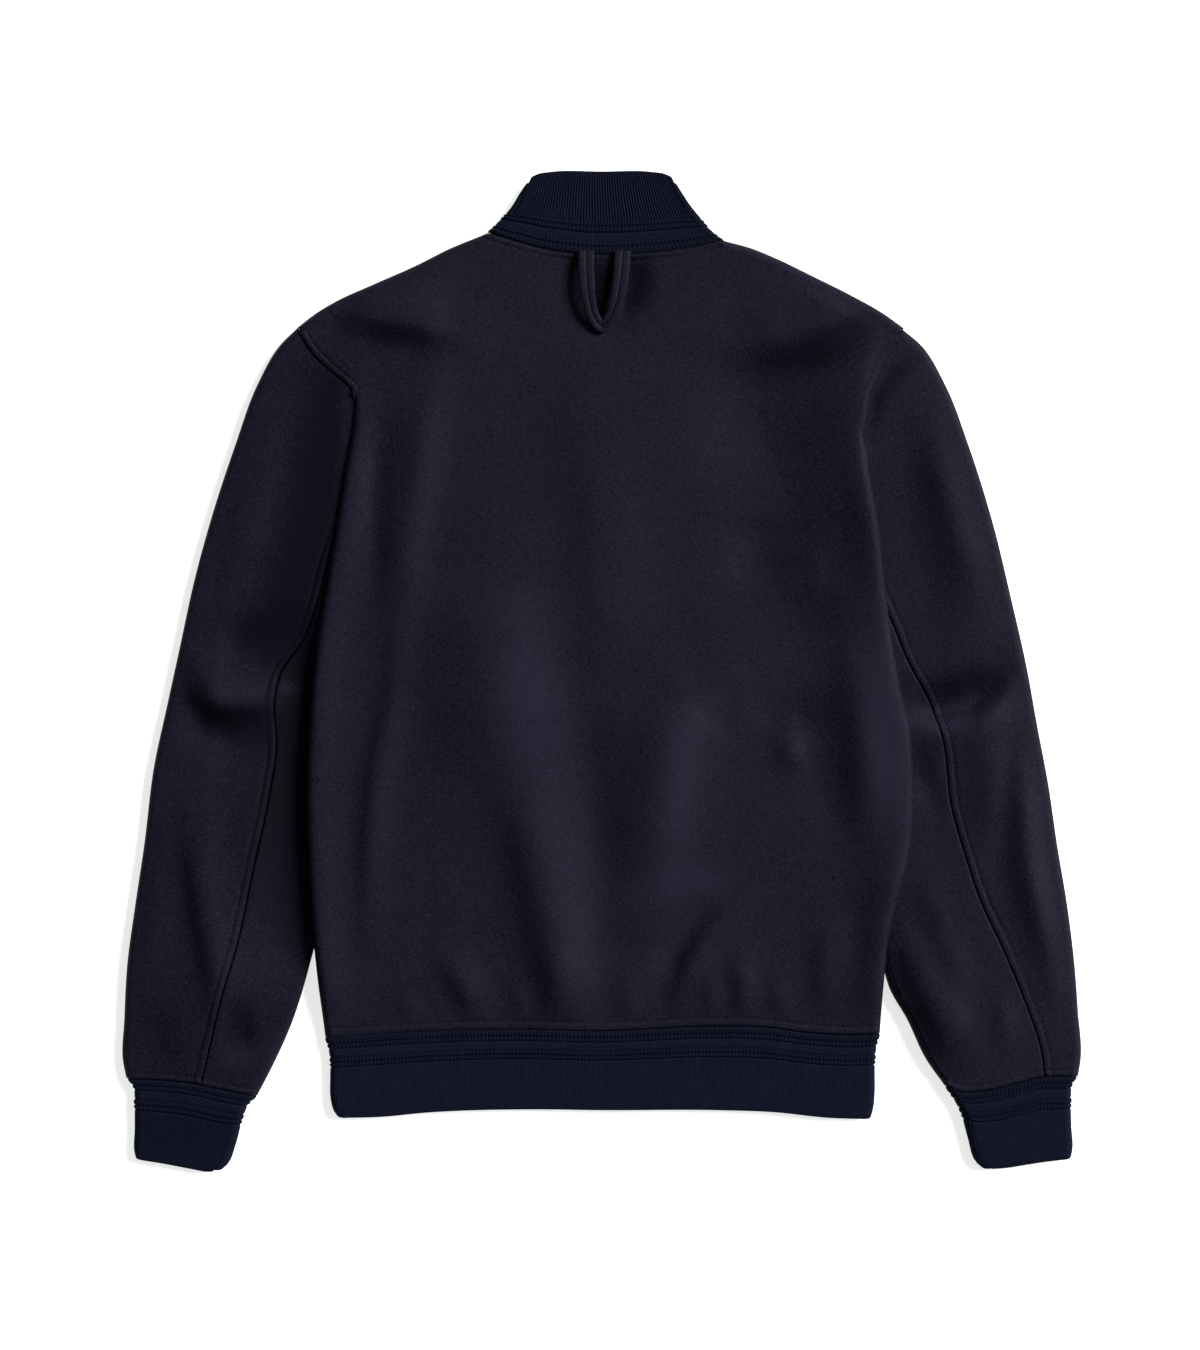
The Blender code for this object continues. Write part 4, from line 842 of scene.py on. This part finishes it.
def sleeve_top(side, x, y, across, down, stitch):
    """Height of a sleeve's upper side. across runs from 0 at its outer fold to 1, down from 0 to the cuff,
    and stitch is the distance of the back seam's topstitching, or 0 on the side that has none."""
    crown = np.sin(math.pi * np.clip(across, 0.0, 1.0)) ** 0.8
    height = mix(SLEEVE_EDGE, SLEEVE_CROWN, crown) + at(SLEEVE_RELIEF, x, y) * smooth(crown, 0.15, 0.6)
    height = mix(height, TRIM_HEIGHT, smooth(down, 0.88, 1.0))
    covered = mix(side["seam_height"], side["tucked"], smooth(side["turn"] - y, -14.0, 14.0))
    outwards = (x - x_of(side["cover"], y)) * side["sign"]
    lower, upper = (np.interp(outwards, *dense(side[name]).T) for name in ("lower_rise", "upper_rise"))
    risen = mix(lower, upper, smooth(y, 0.0, 60.0))
    near = (1.0 - risen) * smooth(y - side["covered_to"], -40.0, 12.0)
    height = mix(height, covered, near)
    height = height + sewn(away_from(dense(side["back_seam"]), x, y, 20.0), stitch) * smooth(down, 0.0, 0.05)
    height = height + sewn(away_from(side["seen_armhole"], x, y, 20.0), 0.0) * side["armhole_relief"]
    return height + sewn(away_from(dense(side["cuff_seam"]), x, y, 20.0), CUFF_STITCH)


def along_rows(rows, shares):
    """Points of every row at its own shares of the way from its outer fold."""
    spots = np.clip(shares, 0.0, 1.0) * (rows.shape[1] - 1)
    low = np.minimum(spots.astype(int), rows.shape[1] - 2)
    part = (spots - low)[..., None]
    first = np.take_along_axis(rows, low[..., None], axis=1)
    return mix(first, np.take_along_axis(rows, low[..., None] + 1, axis=1), part)


def sleeve_rings(side):
    """Points of a sleeve's two pieces, in rows from armhole to cuff. Each row runs from the back seam over
    the upper side, round a fold and to the seam in the middle of the lower side."""
    outer_line, cuff_seam = dense(side["sleeve_outer"]), dense(side["cuff_seam"])
    armhole = side["armhole_line"]
    down = cells(length_of(outer_line), True, True)
    outer, inner = at_shares(outer_line, down), at_shares(side["inner_line"], down)
    reach = SLEEVE_EDGE / 2.0

    def square_to(line, sign):
        along = unit(np.gradient(line, axis=0))
        return np.stack([-along[:, 1], along[:, 0]], axis=1) * sign

    across_cuff = unit(cuff_seam[-1] - cuff_seam[0])
    to_inner = turned(eased(square_to(outer, -side["sign"])), unit(armhole[12] - armhole[0]), across_cuff)
    to_outer = eased(square_to(inner, side["sign"]))
    to_outer = turned(to_outer, to_outer[0], -across_cuff)
    free = smooth(-inner[:, 1], -side["covered_to"], 300.0)
    inner_reach = mix(side["tucked"] / 2.0, reach, free)
    outer_in = outer + to_inner * reach
    inner_in = inner + to_outer * inner_reach[:, None]
    head = np.vstack([part_of(armhole, outer_in[0], armhole[-10]), inner_in[:1]])
    foot = part_of(cuff_seam, outer_in[-1], inner_in[-1])
    u = np.linspace(0.0, 1.0, ACROSS + 1)
    surface = patch(at_shares(head, u), at_shares(foot, u), outer_in, inner_in, u, down)
    width = np.linalg.norm(surface[:, -1] - surface[:, 0], axis=1)
    away = away_from(dense(side["back_seam"]), surface[..., 0], surface[..., 1], 400.0)
    nearest = np.clip(np.argmin(away, axis=1), 1, ACROSS - 1)
    rows = np.arange(len(surface))
    lean = (away[rows, nearest - 1] - away[rows, nearest + 1]) / 2.0
    seam_share = nearest / ACROSS + np.clip(lean / width, -0.5 / ACROSS, 0.5 / ACROSS)
    gap = SLEEVE_GAP / 2.0 / width
    way = unit(surface[0, -1] - surface[0, 0])
    to_body = np.zeros((len(rows), 1, 2))
    to_body[0, 0] = np.array([way[1], -way[0]]) * side["sign"]

    def upper_side(start, end, spots, stitch):
        """From share start to share end of each row, at these spots of the stretch."""
        shares = start[:, None] + (end - start)[:, None] * spots[None]
        plan = along_rows(surface, shares)
        across = mix((reach / width)[:, None], (1.0 - inner_reach / width)[:, None], shares)
        height = sleeve_top(side, plan[..., 0], plan[..., 1], across, down[:, None], stitch)
        lap = SEAM_LAP * smooth(shares, 0.06, 0.25) * (1.0 - smooth(shares, 0.8, 0.95))
        return np.dstack([plan + to_body * lap[..., None], height])

    def lower_side(start, end, lap=()):
        """From share start to share end of each row, and over the seam there by these distances."""
        shares = mix(start[:, None], end[:, None], np.linspace(0.0, 1.0, LOWER_POINTS)[None])
        shares = np.hstack([shares, end[:, None] + np.array(lap)[None] / width[:, None]])
        back_off = 1.0 - smooth(rows, 0, 24)
        plan = along_rows(surface, shares) - to_body[0] * ARMHOLE_GAP * back_off[:, None, None]
        height = np.zeros(shares.shape)
        height[:, LOWER_POINTS:] = CLOTH + GAP
        return np.dstack([plan, height])

    def fold_points(top, way, radius):
        """The roll at a fold, from the upper side to the lower one."""
        turn = SLEEVE_ROLL[None, :, None]
        plan = top[:, None, :2] - way[:, None] * radius[:, None, None] * np.sin(turn)
        return np.dstack([plan, top[:, None, 2:] / 2.0 * (1.0 + np.cos(turn))])

    zero, one = np.zeros(len(rows)), np.ones(len(rows))
    middle = len(rows) // 2
    outer_spots = cells(width[middle] * seam_share[middle], True, False)
    inner_spots = cells(width[middle] * (1 - seam_share[middle]), True, False)
    outer_top = upper_side(seam_share - gap, zero, outer_spots, SLEEVE_STITCH)
    inner_top = upper_side(seam_share + gap, one, inner_spots, 0.0)
    half = 0.5 * one
    lapped = lower_side(zero, half - LAP_START / width, LAP_STEPS)
    upper = [outer_top, fold_points(outer_top[:, -1], to_inner, zero + reach), lapped]
    under = [
        lower_side(half, one),
        fold_points(inner_top[:, -1], to_outer, inner_reach)[:, ::-1],
        inner_top[:, ::-1],
    ]
    grids = []
    for runs in (upper, under):
        grid = np.concatenate(runs, axis=1)
        grid[0] -= unit(grid[1] - grid[0]) * GAP
        grid[-1] -= unit(grid[-1] - grid[-2]) * GAP / 2
        grids.append(grid)
    return grids


for side, label in ((LEFT, "left"), (RIGHT, "right")):
    side["sleeve_points"] = sleeve_rings(side)
    for points, part, area in zip(side["sleeve_points"], ("upper", "under"), (0.095, 0.062)):
        if side["sign"] > 0:
            points = points[:, ::-1]
        sleeve = cloth(f"melton_sleeve_{label}_{part}", points)

# The waistband, collar and cuffs: doubled bands of rib knit in a bluer navy. Two welts of purl rows run round
# each beside its seam, and fine ribs from there to the folded free edge.
KNIT = 3.0
RIB_CELLS = 4  # across each rib
WAISTBAND_DEPTH, COLLAR_DEPTH, CUFF_DEPTH = 67.0, 60.0, 62.0
CENTRE_GAP = 0.3
TRIM_ROLL = 8  # ribs on each rolled side
WELTS = [  # (distance from the seam, height, share of the ribs' relief)
    (0.0, -0.6, 0.0), (1.0, 0.3, 0.0), (2.4, 0.6, 0.0), (4.6, 0.5, 0.0), (5.9, -0.6, 0.0),
    (6.9, 0.4, 0.0), (8.4, 0.5, 0.0), (9.8, -0.7, 0.0), (10.8, 0.0, 0.5), (13.0, 0.1, 0.8),
    (15.6, 0.0, 0.5), (16.8, -0.7, 0.0), (17.8, 0.4, 0.0), (20.0, 0.5, 0.0), (21.1, -0.6, 0.0),
    (22.1, 0.4, 0.0), (23.4, 0.4, 0.0), (24.6, -0.7, 0.3), (25.8, 0.0, 1.0), (30.0, 0.0, 1.0),
]
WELT_END, WELT_STEP = 26.4, 0.6
WAISTBAND_RIB, COLLAR_RIB, CUFF_RIB = (1.95, 0.42), (2.35, 0.75), (2.05, 0.38)  # (pitch, depth)
WAISTBAND_LEFT = [
    (-213.3, -282.8), (-211.2, -290), (-209.6, -300.3), (-209.6, -315.8), (-209.2, -331), (-206, -341.5),
    (-203, -345),
]
WAISTBAND_RIGHT = [
    (215.7, -279.8), (213.4, -289), (212.2, -300.3), (211.8, -327.4), (210.8, -338), (208.5, -346),
]
WAISTBAND_FREE = [
    (-203, -345), (-170, -344.2), (-136, -341), (-47.2, -338.4), (-0.8, -339), (88.1, -339), (132.2, -340.5),
    (177, -345), (208.5, -346),
]
COLLAR_LEFT = [(-87.8, 339.2), (-83.2, 343.8), (-77.2, 350), (-68.8, 360), (-62.8, 370), (-57.4, 378)]
COLLAR_RIGHT = [(95.6, 332.6), (91.4, 336), (84, 342.4), (78, 349.8), (69.6, 360), (63, 370), (58, 378)]
COLLAR_FREE = [
    (-57.4, 378), (-53.4, 382), (-48, 384.5), (-39, 385.9), (0.8, 386.2), (39.4, 385.9), (48.4, 384.6),
    (54.2, 382), (58, 378),
]
COLLAR_FRONT = [(46.0, 372.0), (44.0, 345.0), (26.0, 318.0), (CENTRE_GAP, 308.4)]
LEFT.update({
    "cuff_outer": [
        (-366.4, -314.6), (-361.8, -321), (-361, -334), (-360.8, -355), (-361.2, -371), (-359.8, -377),
    ],
    "cuff_inner": [
        (-266.1, -328.3), (-273, -335.5), (-276.5, -344), (-282.5, -366), (-288.5, -381), (-294, -386),
    ],
    "cuff_free": [(-359.8, -377), (-338.6, -380.3), (-316, -384.6), (-304.6, -386.6), (-294, -386)],
})
RIGHT.update({
    "cuff_outer": [
        (368.4, -312.9), (364.6, -319.5), (363.8, -331), (364, -352), (364.9, -370), (363.4, -376.8),
    ],
    "cuff_inner": [
        (266.2, -320.8), (271.7, -329), (277.5, -339.5), (283.5, -360), (290, -379.5), (296, -384.8),
    ],
    "cuff_free": [(363.4, -376.8), (343, -379), (330.1, -381), (313.8, -383.6), (296, -384.8)],
})


def stretched(line, start, end):
    """The line with its ends moved to start and end."""
    share = np.linspace(0.0, 1.0, len(line))[:, None]
    return line + (start - line[0]) * (1 - share) + (end - line[-1]) * share


def inset(line):
    """The line without the part at each end that the band's rolled side takes."""
    reach = unit(line[-1] - line[0]) * TRIM_HEIGHT / 2.0
    return part_of(line, line[0] + reach, line[-1] - reach)


def band_profile(depth):
    """(distance from the seam, height, share of the ribs) down the outer face, round the folded free edge and
    up the inner face, back to where it starts."""
    places, height, ribs = np.array(WELTS).T
    radius = KNIT / 2
    welts = np.arange(0.0, WELT_END, WELT_STEP)
    outer = [(d, np.interp(d, places, height), np.interp(d, places, ribs)) for d in welts]
    outer += [(d, 0.0, 1.0) for d in np.linspace(WELT_END, depth - radius, 9)]
    turn = np.radians(np.linspace(30.0, 180.0, 6))
    fold = [(depth - radius * (1 - math.sin(a)), radius * (math.cos(a) - 1), 1 - a / math.pi) for a in turn]
    inner = [(d, -KNIT, 0.0) for d in np.linspace(depth - radius, 0.0, 5)[1:]]
    return outer + fold + inner + outer[:1]


def band(seam, free, left, right, depth, tops, under_line, pitch, rib_depth):
    """Points of a knit band laid flat, in rows as its profile gives them, with their run for the UV map. Each
    row goes from the middle of the under side round the right fold, over the top and round the left fold."""
    def ribs_on(length):
        return max(1, round(length / pitch))

    top_cells = ribs_on((length_of(seam) + length_of(free)) / 2.0) * RIB_CELLS
    roll_cells = TRIM_ROLL * RIB_CELLS
    angles = np.linspace(math.pi, 0.0, roll_cells + 1)[1:-1]
    middle_left, middle_right = at_shares(left, [0.5])[0], at_shares(right, [0.5])[0]
    under_cells = [ribs_on(length_of(run)) * 2 for run in under_line(0.5, middle_left, middle_right)]
    rows, runs = [], []
    seam, free = inset(seam), inset(free)
    for distance, height, rib_share in band_profile(depth):
        share = distance / depth
        left_point, right_point = at_shares(left, [share])[0], at_shares(right, [share])[0]
        way_left = unit(left_point - right_point)
        left_in = left_point - way_left * TRIM_HEIGHT / 2.0
        right_in = right_point + way_left * TRIM_HEIGHT / 2.0
        plan = mix(even(seam, top_cells), even(free, top_cells), share)[::-1]
        plan = stretched(plan, right_in, left_in)
        right_under, left_under = under_line(share, left_in, right_in)
        right_under, left_under = even(right_under, under_cells[0]), even(left_under, under_cells[1])
        top = mix(*tops, share)
        count = len(right_under) + 2 * len(angles) + len(plan) + len(left_under)
        steps = np.full(count, pitch / RIB_CELLS)
        steps[: len(right_under)] = steps[-len(left_under) :] = pitch / 2.0
        run = np.cumsum(steps)
        wave = 0.5 + 0.5 * np.cos(run * 2.0 * math.pi / pitch)
        lift = height - rib_depth * rib_share * wave
        on_right = slice(len(right_under), len(right_under) + len(angles))
        on_top = slice(on_right.stop, on_right.stop + len(plan))
        on_left = slice(on_top.stop, on_top.stop + len(angles))
        points = np.zeros((count, 3))
        points[: on_right.start, :2], points[on_left.stop :, :2] = right_under, left_under
        points[:, 2] = np.maximum(-lift, 0.0)
        points[on_top, :2], points[on_top, 2] = plan, top + lift[on_top]
        for part, centre, way, turn in (
            (on_right, right_in, -way_left, angles), (on_left, left_in, way_left, angles[::-1]),
        ):
            bulge = TRIM_HEIGHT / 2.0 + lift[part]
            points[part, :2] = centre + way * (bulge * np.sin(turn))[:, None]
            upper = top / 2.0 + (top / 2.0 + lift[part]) * np.cos(turn)
            lower = mix(top / 2.0, np.maximum(-lift[part], 0.0), 1.0 - np.sin(turn))
            points[part, 2] = np.where(turn > math.pi / 2, lower, upper)
        rows.append(points)
        runs.append(np.stack([run, np.full(count, distance)], axis=1))
    return np.array(rows), np.array(runs)


def rib_finish():
    """Dyed yarn, knitted: small stitches down each rib, purl bumps in rows on the welts, and loose fibre."""
    made, shader, nodes = finish("rib_knit_yarn", 0.85)
    place = nodes.node("TexCoord", {}, {}, "Object")
    fibre = noise(nodes, place, 900.0, 3.0, 0.6)
    mottle = noise(nodes, place, 90.0, 2.0)
    # Light and shade painted into the knit's colour from the corners' attribute, as on the melton.
    painted_light_and_shade = nodes.node("Attribute", {"attribute_name": "nap_and_painted_shading"}, {}, "Fac")
    knit = nodes.node("UVMap", {"uv_map": "knit"}, {})
    along, down = (nodes.node("SeparateXYZ", {}, {0: knit}, axis) for axis in (0, 1))
    first = down.between(0.0005, 0.0014) * (1.0 - down.between(0.0090, 0.0098))
    second = down.between(0.0168, 0.0176) * (1.0 - down.between(0.0238, 0.0246))
    welt = first + second
    purl = (along * (2.0 * math.pi / 0.0029)).maths("COSINE").between(-0.4, 0.7) * welt
    rows = (down * (2.0 * math.pi / 0.0021)).maths("COSINE").between(-0.9, 0.2)
    courses = (down * (2.0 * math.pi / 0.0013)).maths("SINE")
    # The welts are painted darker and their purl bumps lighter: painted shade between the purl loops and
    # painted highlights on their tops.
    share = (fibre - 0.5) * 1.6 + (mottle - 0.5) * 0.4 + 0.5 - welt * 0.62 + purl * rows * 0.95 + painted_light_and_shade
    colour = share.between(0.0, 1.0).tint((0.0016, 0.0026, 0.0087, 1.0), (0.0056, 0.0080, 0.0202, 1.0))
    made.node_tree.links.new(colour.socket, shader.inputs["Base Color"])
    height = courses * 0.3 * (1.0 - welt) + purl * rows * 1.8 + fibre
    bump = nodes.node("Bump", {}, {"Strength": 0.6, "Distance": 0.0005, "Height": height}, "Normal")
    made.node_tree.links.new(bump.socket, shader.inputs["Normal"])
    shader.inputs["Specular IOR Level"].default_value = 0.06
    return made


RIB_KNIT = rib_finish()


def knit_band(name, rows, runs):
    shape = grid_of(rows, runs)
    bmesh.ops.remove_doubles(shape, verts=shape.verts, dist=2e-6)
    ends = [edge for edge in shape.edges if edge.is_boundary]
    if ends:
        bmesh.ops.holes_fill(shape, edges=ends)
    bmesh.ops.recalc_face_normals(shape, faces=shape.faces)
    made = link(name, shape, RIB_KNIT)
    # Light and shade painted into the band's colour too: darker on the left cuff, and the cloth's painted
    # patches carried on beside the hem.
    paint_light_and_shade(made)
    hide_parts(name.removeprefix("knit_"))


def waistband_under(share, left_in, right_in):
    front_hem = np.linspace((WAISTBAND_LEFT[0][0], FRONT_HEM), (WAISTBAND_RIGHT[0][0], FRONT_HEM), 25)
    line = stretched(mix(front_hem, even(dense(WAISTBAND_FREE), 24) + (0.0, 0.8), share), left_in, right_in)
    right, left = line[12:].copy(), line[:13].copy()
    right[0, 0], left[-1, 0] = CENTRE_GAP, -CENTRE_GAP
    return right, left


def collar_under(share, left_in, right_in):
    runs = []
    for side, start in ((RIGHT, right_in), (LEFT, left_in)):
        lower = neckline(side, 24)
        way = unit(np.gradient(lower, axis=0))
        lower = lower + np.stack([way[:, 1], -way[:, 0]], axis=1) * GAP * side["sign"]
        lower[-1, 0] = side["sign"] * CENTRE_GAP
        upper = even(dense([(side["sign"] * x, y) for x, y in COLLAR_FRONT]), 24)
        runs.append(np.vstack([[start], mix(lower, upper, share)]))
    return runs[0][::-1], runs[1]


rows, runs = band(
    HEM_LINE - np.array([0.0, GAP / 2]), dense(WAISTBAND_FREE), dense(WAISTBAND_LEFT), dense(WAISTBAND_RIGHT),
    WAISTBAND_DEPTH, (HEM_HEIGHT, FREE_HEIGHT), waistband_under, *WAISTBAND_RIB,
)
knit_band("knit_waistband", rows, runs)
rows, runs = band(
    NECK_LINE + np.array([0.0, GAP / 2]), dense(COLLAR_FREE), dense(COLLAR_LEFT), dense(COLLAR_RIGHT),
    COLLAR_DEPTH, (SHOULDER_HEIGHT, TRIM_HEIGHT), collar_under, *COLLAR_RIB,
)
knit_band("knit_collar", rows, runs)

for side, label in ((LEFT, "left"), (RIGHT, "right")):
    edges = [dense(side[line]) for line in ("cuff_seam", "cuff_free", "cuff_outer", "cuff_inner")]
    if side["sign"] > 0:
        edges = [edges[0][::-1], edges[1][::-1], edges[3], edges[2]]
    seam, free, left_edge, right_edge = edges
    seam = seam + np.array([0.0, GAP])

    def cuff_under(share, left_in, right_in):
        line = stretched(mix(even(seam, 24), even(free, 24), share), left_in, right_in)
        return line[12:], line[:13]

    tops = TRIM_HEIGHT, FREE_HEIGHT
    rows, runs = band(seam, free, left_edge, right_edge, CUFF_DEPTH, tops, cuff_under, *CUFF_RIB)
    knit_band(f"knit_cuff_{label}", rows, runs)

# The seam allowances: strips of the melton inside the garment, under the seams that join the trims to it,
# where the edges of both are turned in.
ALLOWANCE, ALLOWANCE_THICKNESS = 4.0, 1.2  # each way from the seam
ALLOWANCE_GAP = 0.7  # under the knit


def allowance(name, line, seam_height):
    """A strip under a seam whose outer face is this far over the table."""
    height = seam_height - KNIT - ALLOWANCE_GAP
    way = unit(np.gradient(line, axis=0))
    across = np.stack([-way[:, 1], way[:, 0]], axis=1) * ALLOWANCE
    plan = np.stack([line - across, line + across])
    made = link(f"allowance_{name}", grid_of(np.dstack([plan, np.full(plan.shape[:2], height)])), MELTON)
    wall = made.modifiers.new("wall", "SOLIDIFY")
    wall.thickness, wall.offset = ALLOWANCE_THICKNESS * MM, -1.0


allowance("hem", inset(HEM_LINE), HEM_HEIGHT)
allowance("neck", NECK_LINE[3:-3], SHOULDER_HEIGHT)
for side, label in ((LEFT, "left"), (RIGHT, "right")):
    cuff_seam = dense(side["cuff_seam"])
    allowance(f"cuff_{label}", inset(cuff_seam if side["sign"] < 0 else cuff_seam[::-1]), TRIM_HEIGHT)

# The hanger loop: a strip of the melton folded lengthwise and stitched down its middle, bent to a point and
# sewn into the neck seam at both ends.
LOOP_HEIGHT, LOOP_ARCH, LOOP_THICKNESS = 14.5, 4.2, 2.4
LOOP_TIP, LOOP_LEG = 4.6, 6.2  # half widths of the strip
LOOP_MIDDLE = [
    (-11.4, 324.2), (-11.0, 303), (-9.2, 286), (-5.2, 272.5), (0.8, 265.5), (6.8, 272.5), (12.0, 286),
    (15.0, 303), (16.8, 324.2),
]
LOOP_SECTION = [  # shares of the half width and of the thickness, with a stitched groove down the middle
    (-1.0, 0.35), (-1.0, 0.7), (-0.92, 0.92), (-0.7, 1.0), (-0.4, 1.0), (-0.14, 0.97), (0.0, 0.74),
    (0.14, 0.97), (0.4, 1.0), (0.7, 1.0), (0.92, 0.92), (1.0, 0.7), (1.0, 0.35), (0.85, 0.05), (-0.85, 0.05),
    (-1.0, 0.35),
]
shares = np.linspace(0, 1, 97)
path = at_shares(dense(LOOP_MIDDLE), shares)
along = unit(np.gradient(path, axis=0))
across = np.stack([along[:, 1], -along[:, 0]], axis=1)
from_tip = np.abs(shares - 0.5) * 2.0
half_width = mix(LOOP_TIP, LOOP_LEG, smooth(from_tip, 0.1, 0.7))
rise = LOOP_ARCH * np.sin(math.pi * from_tip) ** 0.8 + 0.5 * smooth(from_tip, 0.6, 1.0)
section = np.array(LOOP_SECTION)
plan = path[:, None] + across[:, None] * half_width[:, None, None] * section[None, :, :1]
height = (LOOP_HEIGHT + rise)[:, None] + LOOP_THICKNESS * section[None, :, 1]
loop_shape = grid_of(np.dstack([plan, height]))
bmesh.ops.remove_doubles(loop_shape, verts=loop_shape.verts, dist=2e-6)
bmesh.ops.holes_fill(loop_shape, edges=[edge for edge in loop_shape.edges if edge.is_boundary])
bmesh.ops.recalc_face_normals(loop_shape, faces=loop_shape.faces)
loop_piece = link("melton_hanger_loop", loop_shape, MELTON)
# The loop takes half the painted light and shade of the cloth round it, so it is darker beside the shadows
# painted there.
paint_light_and_shade(loop_piece, 0.5)
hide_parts("hanger_loop")

# The topstitching: short stitches of navy thread in the groove along every seam that shows, and a bar tack
# over the left sleeve's back seam at its cuff. Each stitch is a small sphere drawn out along its seam.
STITCH_PITCH, STITCH_LENGTH, THREAD = 3.3, 2.5, 0.62
BAR_TACK, TACK_PITCH, TACK_LENGTH = [(-319.2, -302.0), (-319.2, -317.0)], 1.5, 2.0
stitch_shape = bmesh.new()


def stitched(line, surface, pitch=STITCH_PITCH, length=STITCH_LENGTH, across=False):
    """Adds stitches along a line in plan, laid on the nearest points of a surface."""
    count = max(2, round(length_of(line) / pitch))
    places = at_shares(line, (np.arange(count) + 0.5) / count)
    over = surface.reshape(-1, 3)
    over = over[over[:, 2] > TRIM_HEIGHT / 2.0]
    away = np.hypot(*(places[:, None, :] - over[None, :, :2]).transpose(2, 0, 1))
    points = np.column_stack([places, over[np.argmin(away, axis=1), 2] + THREAD * 0.2])
    ways = unit(np.gradient(points, axis=0))
    if across:
        ways = np.column_stack([ways[:, 1], -ways[:, 0], 0.0 * ways[:, 2]])
    for point, way in zip(moved(points), ways):
        turn = Vector(way).to_track_quat("X", "Z").to_matrix().to_4x4()
        size = Matrix.Diagonal((length / 2.0 * MM, THREAD / 2.0 * MM, THREAD / 2.0 * MM, 1.0))
        matrix = Matrix.Translation(Vector(point)) @ turn @ size
        bmesh.ops.create_uvsphere(stitch_shape, u_segments=6, v_segments=4, radius=1.0, matrix=matrix)


def beside(line, distance):
    """The line moved sideways by this distance, to the left of its run."""
    way = unit(np.gradient(line, axis=0))
    return line + np.stack([-way[:, 1], way[:, 0]], axis=1) * distance


stitched(beside(NECK_LINE, -NECK_STITCH), back_points)
stitched(beside(HEM_LINE, HEM_STITCH)[4:-4], back_points)
for side in (LEFT, RIGHT):
    stitched(beside(side["seen_armhole"], -side["sign"] * ARMHOLE_STITCH)[2:], back_points)
    surface = np.concatenate([points.reshape(-1, 3) for points in side["sleeve_points"]])
    shown = dense(side["back_seam"])
    shown = shown[(shown[:, 0] - x_of(side["cover"], shown[:, 1])) * side["sign"] > 5.0]
    stitched(beside(shown, side["sign"] * SLEEVE_STITCH), surface)
    stitched(beside(dense(side["cuff_seam"]), -side["sign"] * CUFF_STITCH)[3:-3], surface)
    if side is LEFT:
        stitched(np.array(BAR_TACK), surface, TACK_PITCH, TACK_LENGTH, True)
stitches = link("topstitching", stitch_shape, MELTON)

# The closure: six press studs, of which the caps show on the outermost front, under the garment. Each is a
# shallow brass disc with dark enamel on it.
STUD, stud_shader, stud_nodes = finish("enamelled_stud", 0.35)
stud_shader.inputs["Metallic"].default_value = 1.0
stud_place = stud_nodes.node("TexCoord", {}, {}, "Object")
wear = noise(stud_nodes, stud_place, 800.0, 3.0).between(0.45, 0.75)
enamel = wear.tint((0.016, 0.017, 0.022, 1.0), (0.035, 0.036, 0.042, 1.0))
STUD.node_tree.links.new(enamel.socket, stud_shader.inputs["Base Color"])
for number in range(1, 7):
    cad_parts[f"stud_cap_{number}"].material_slots[0].material = STUD
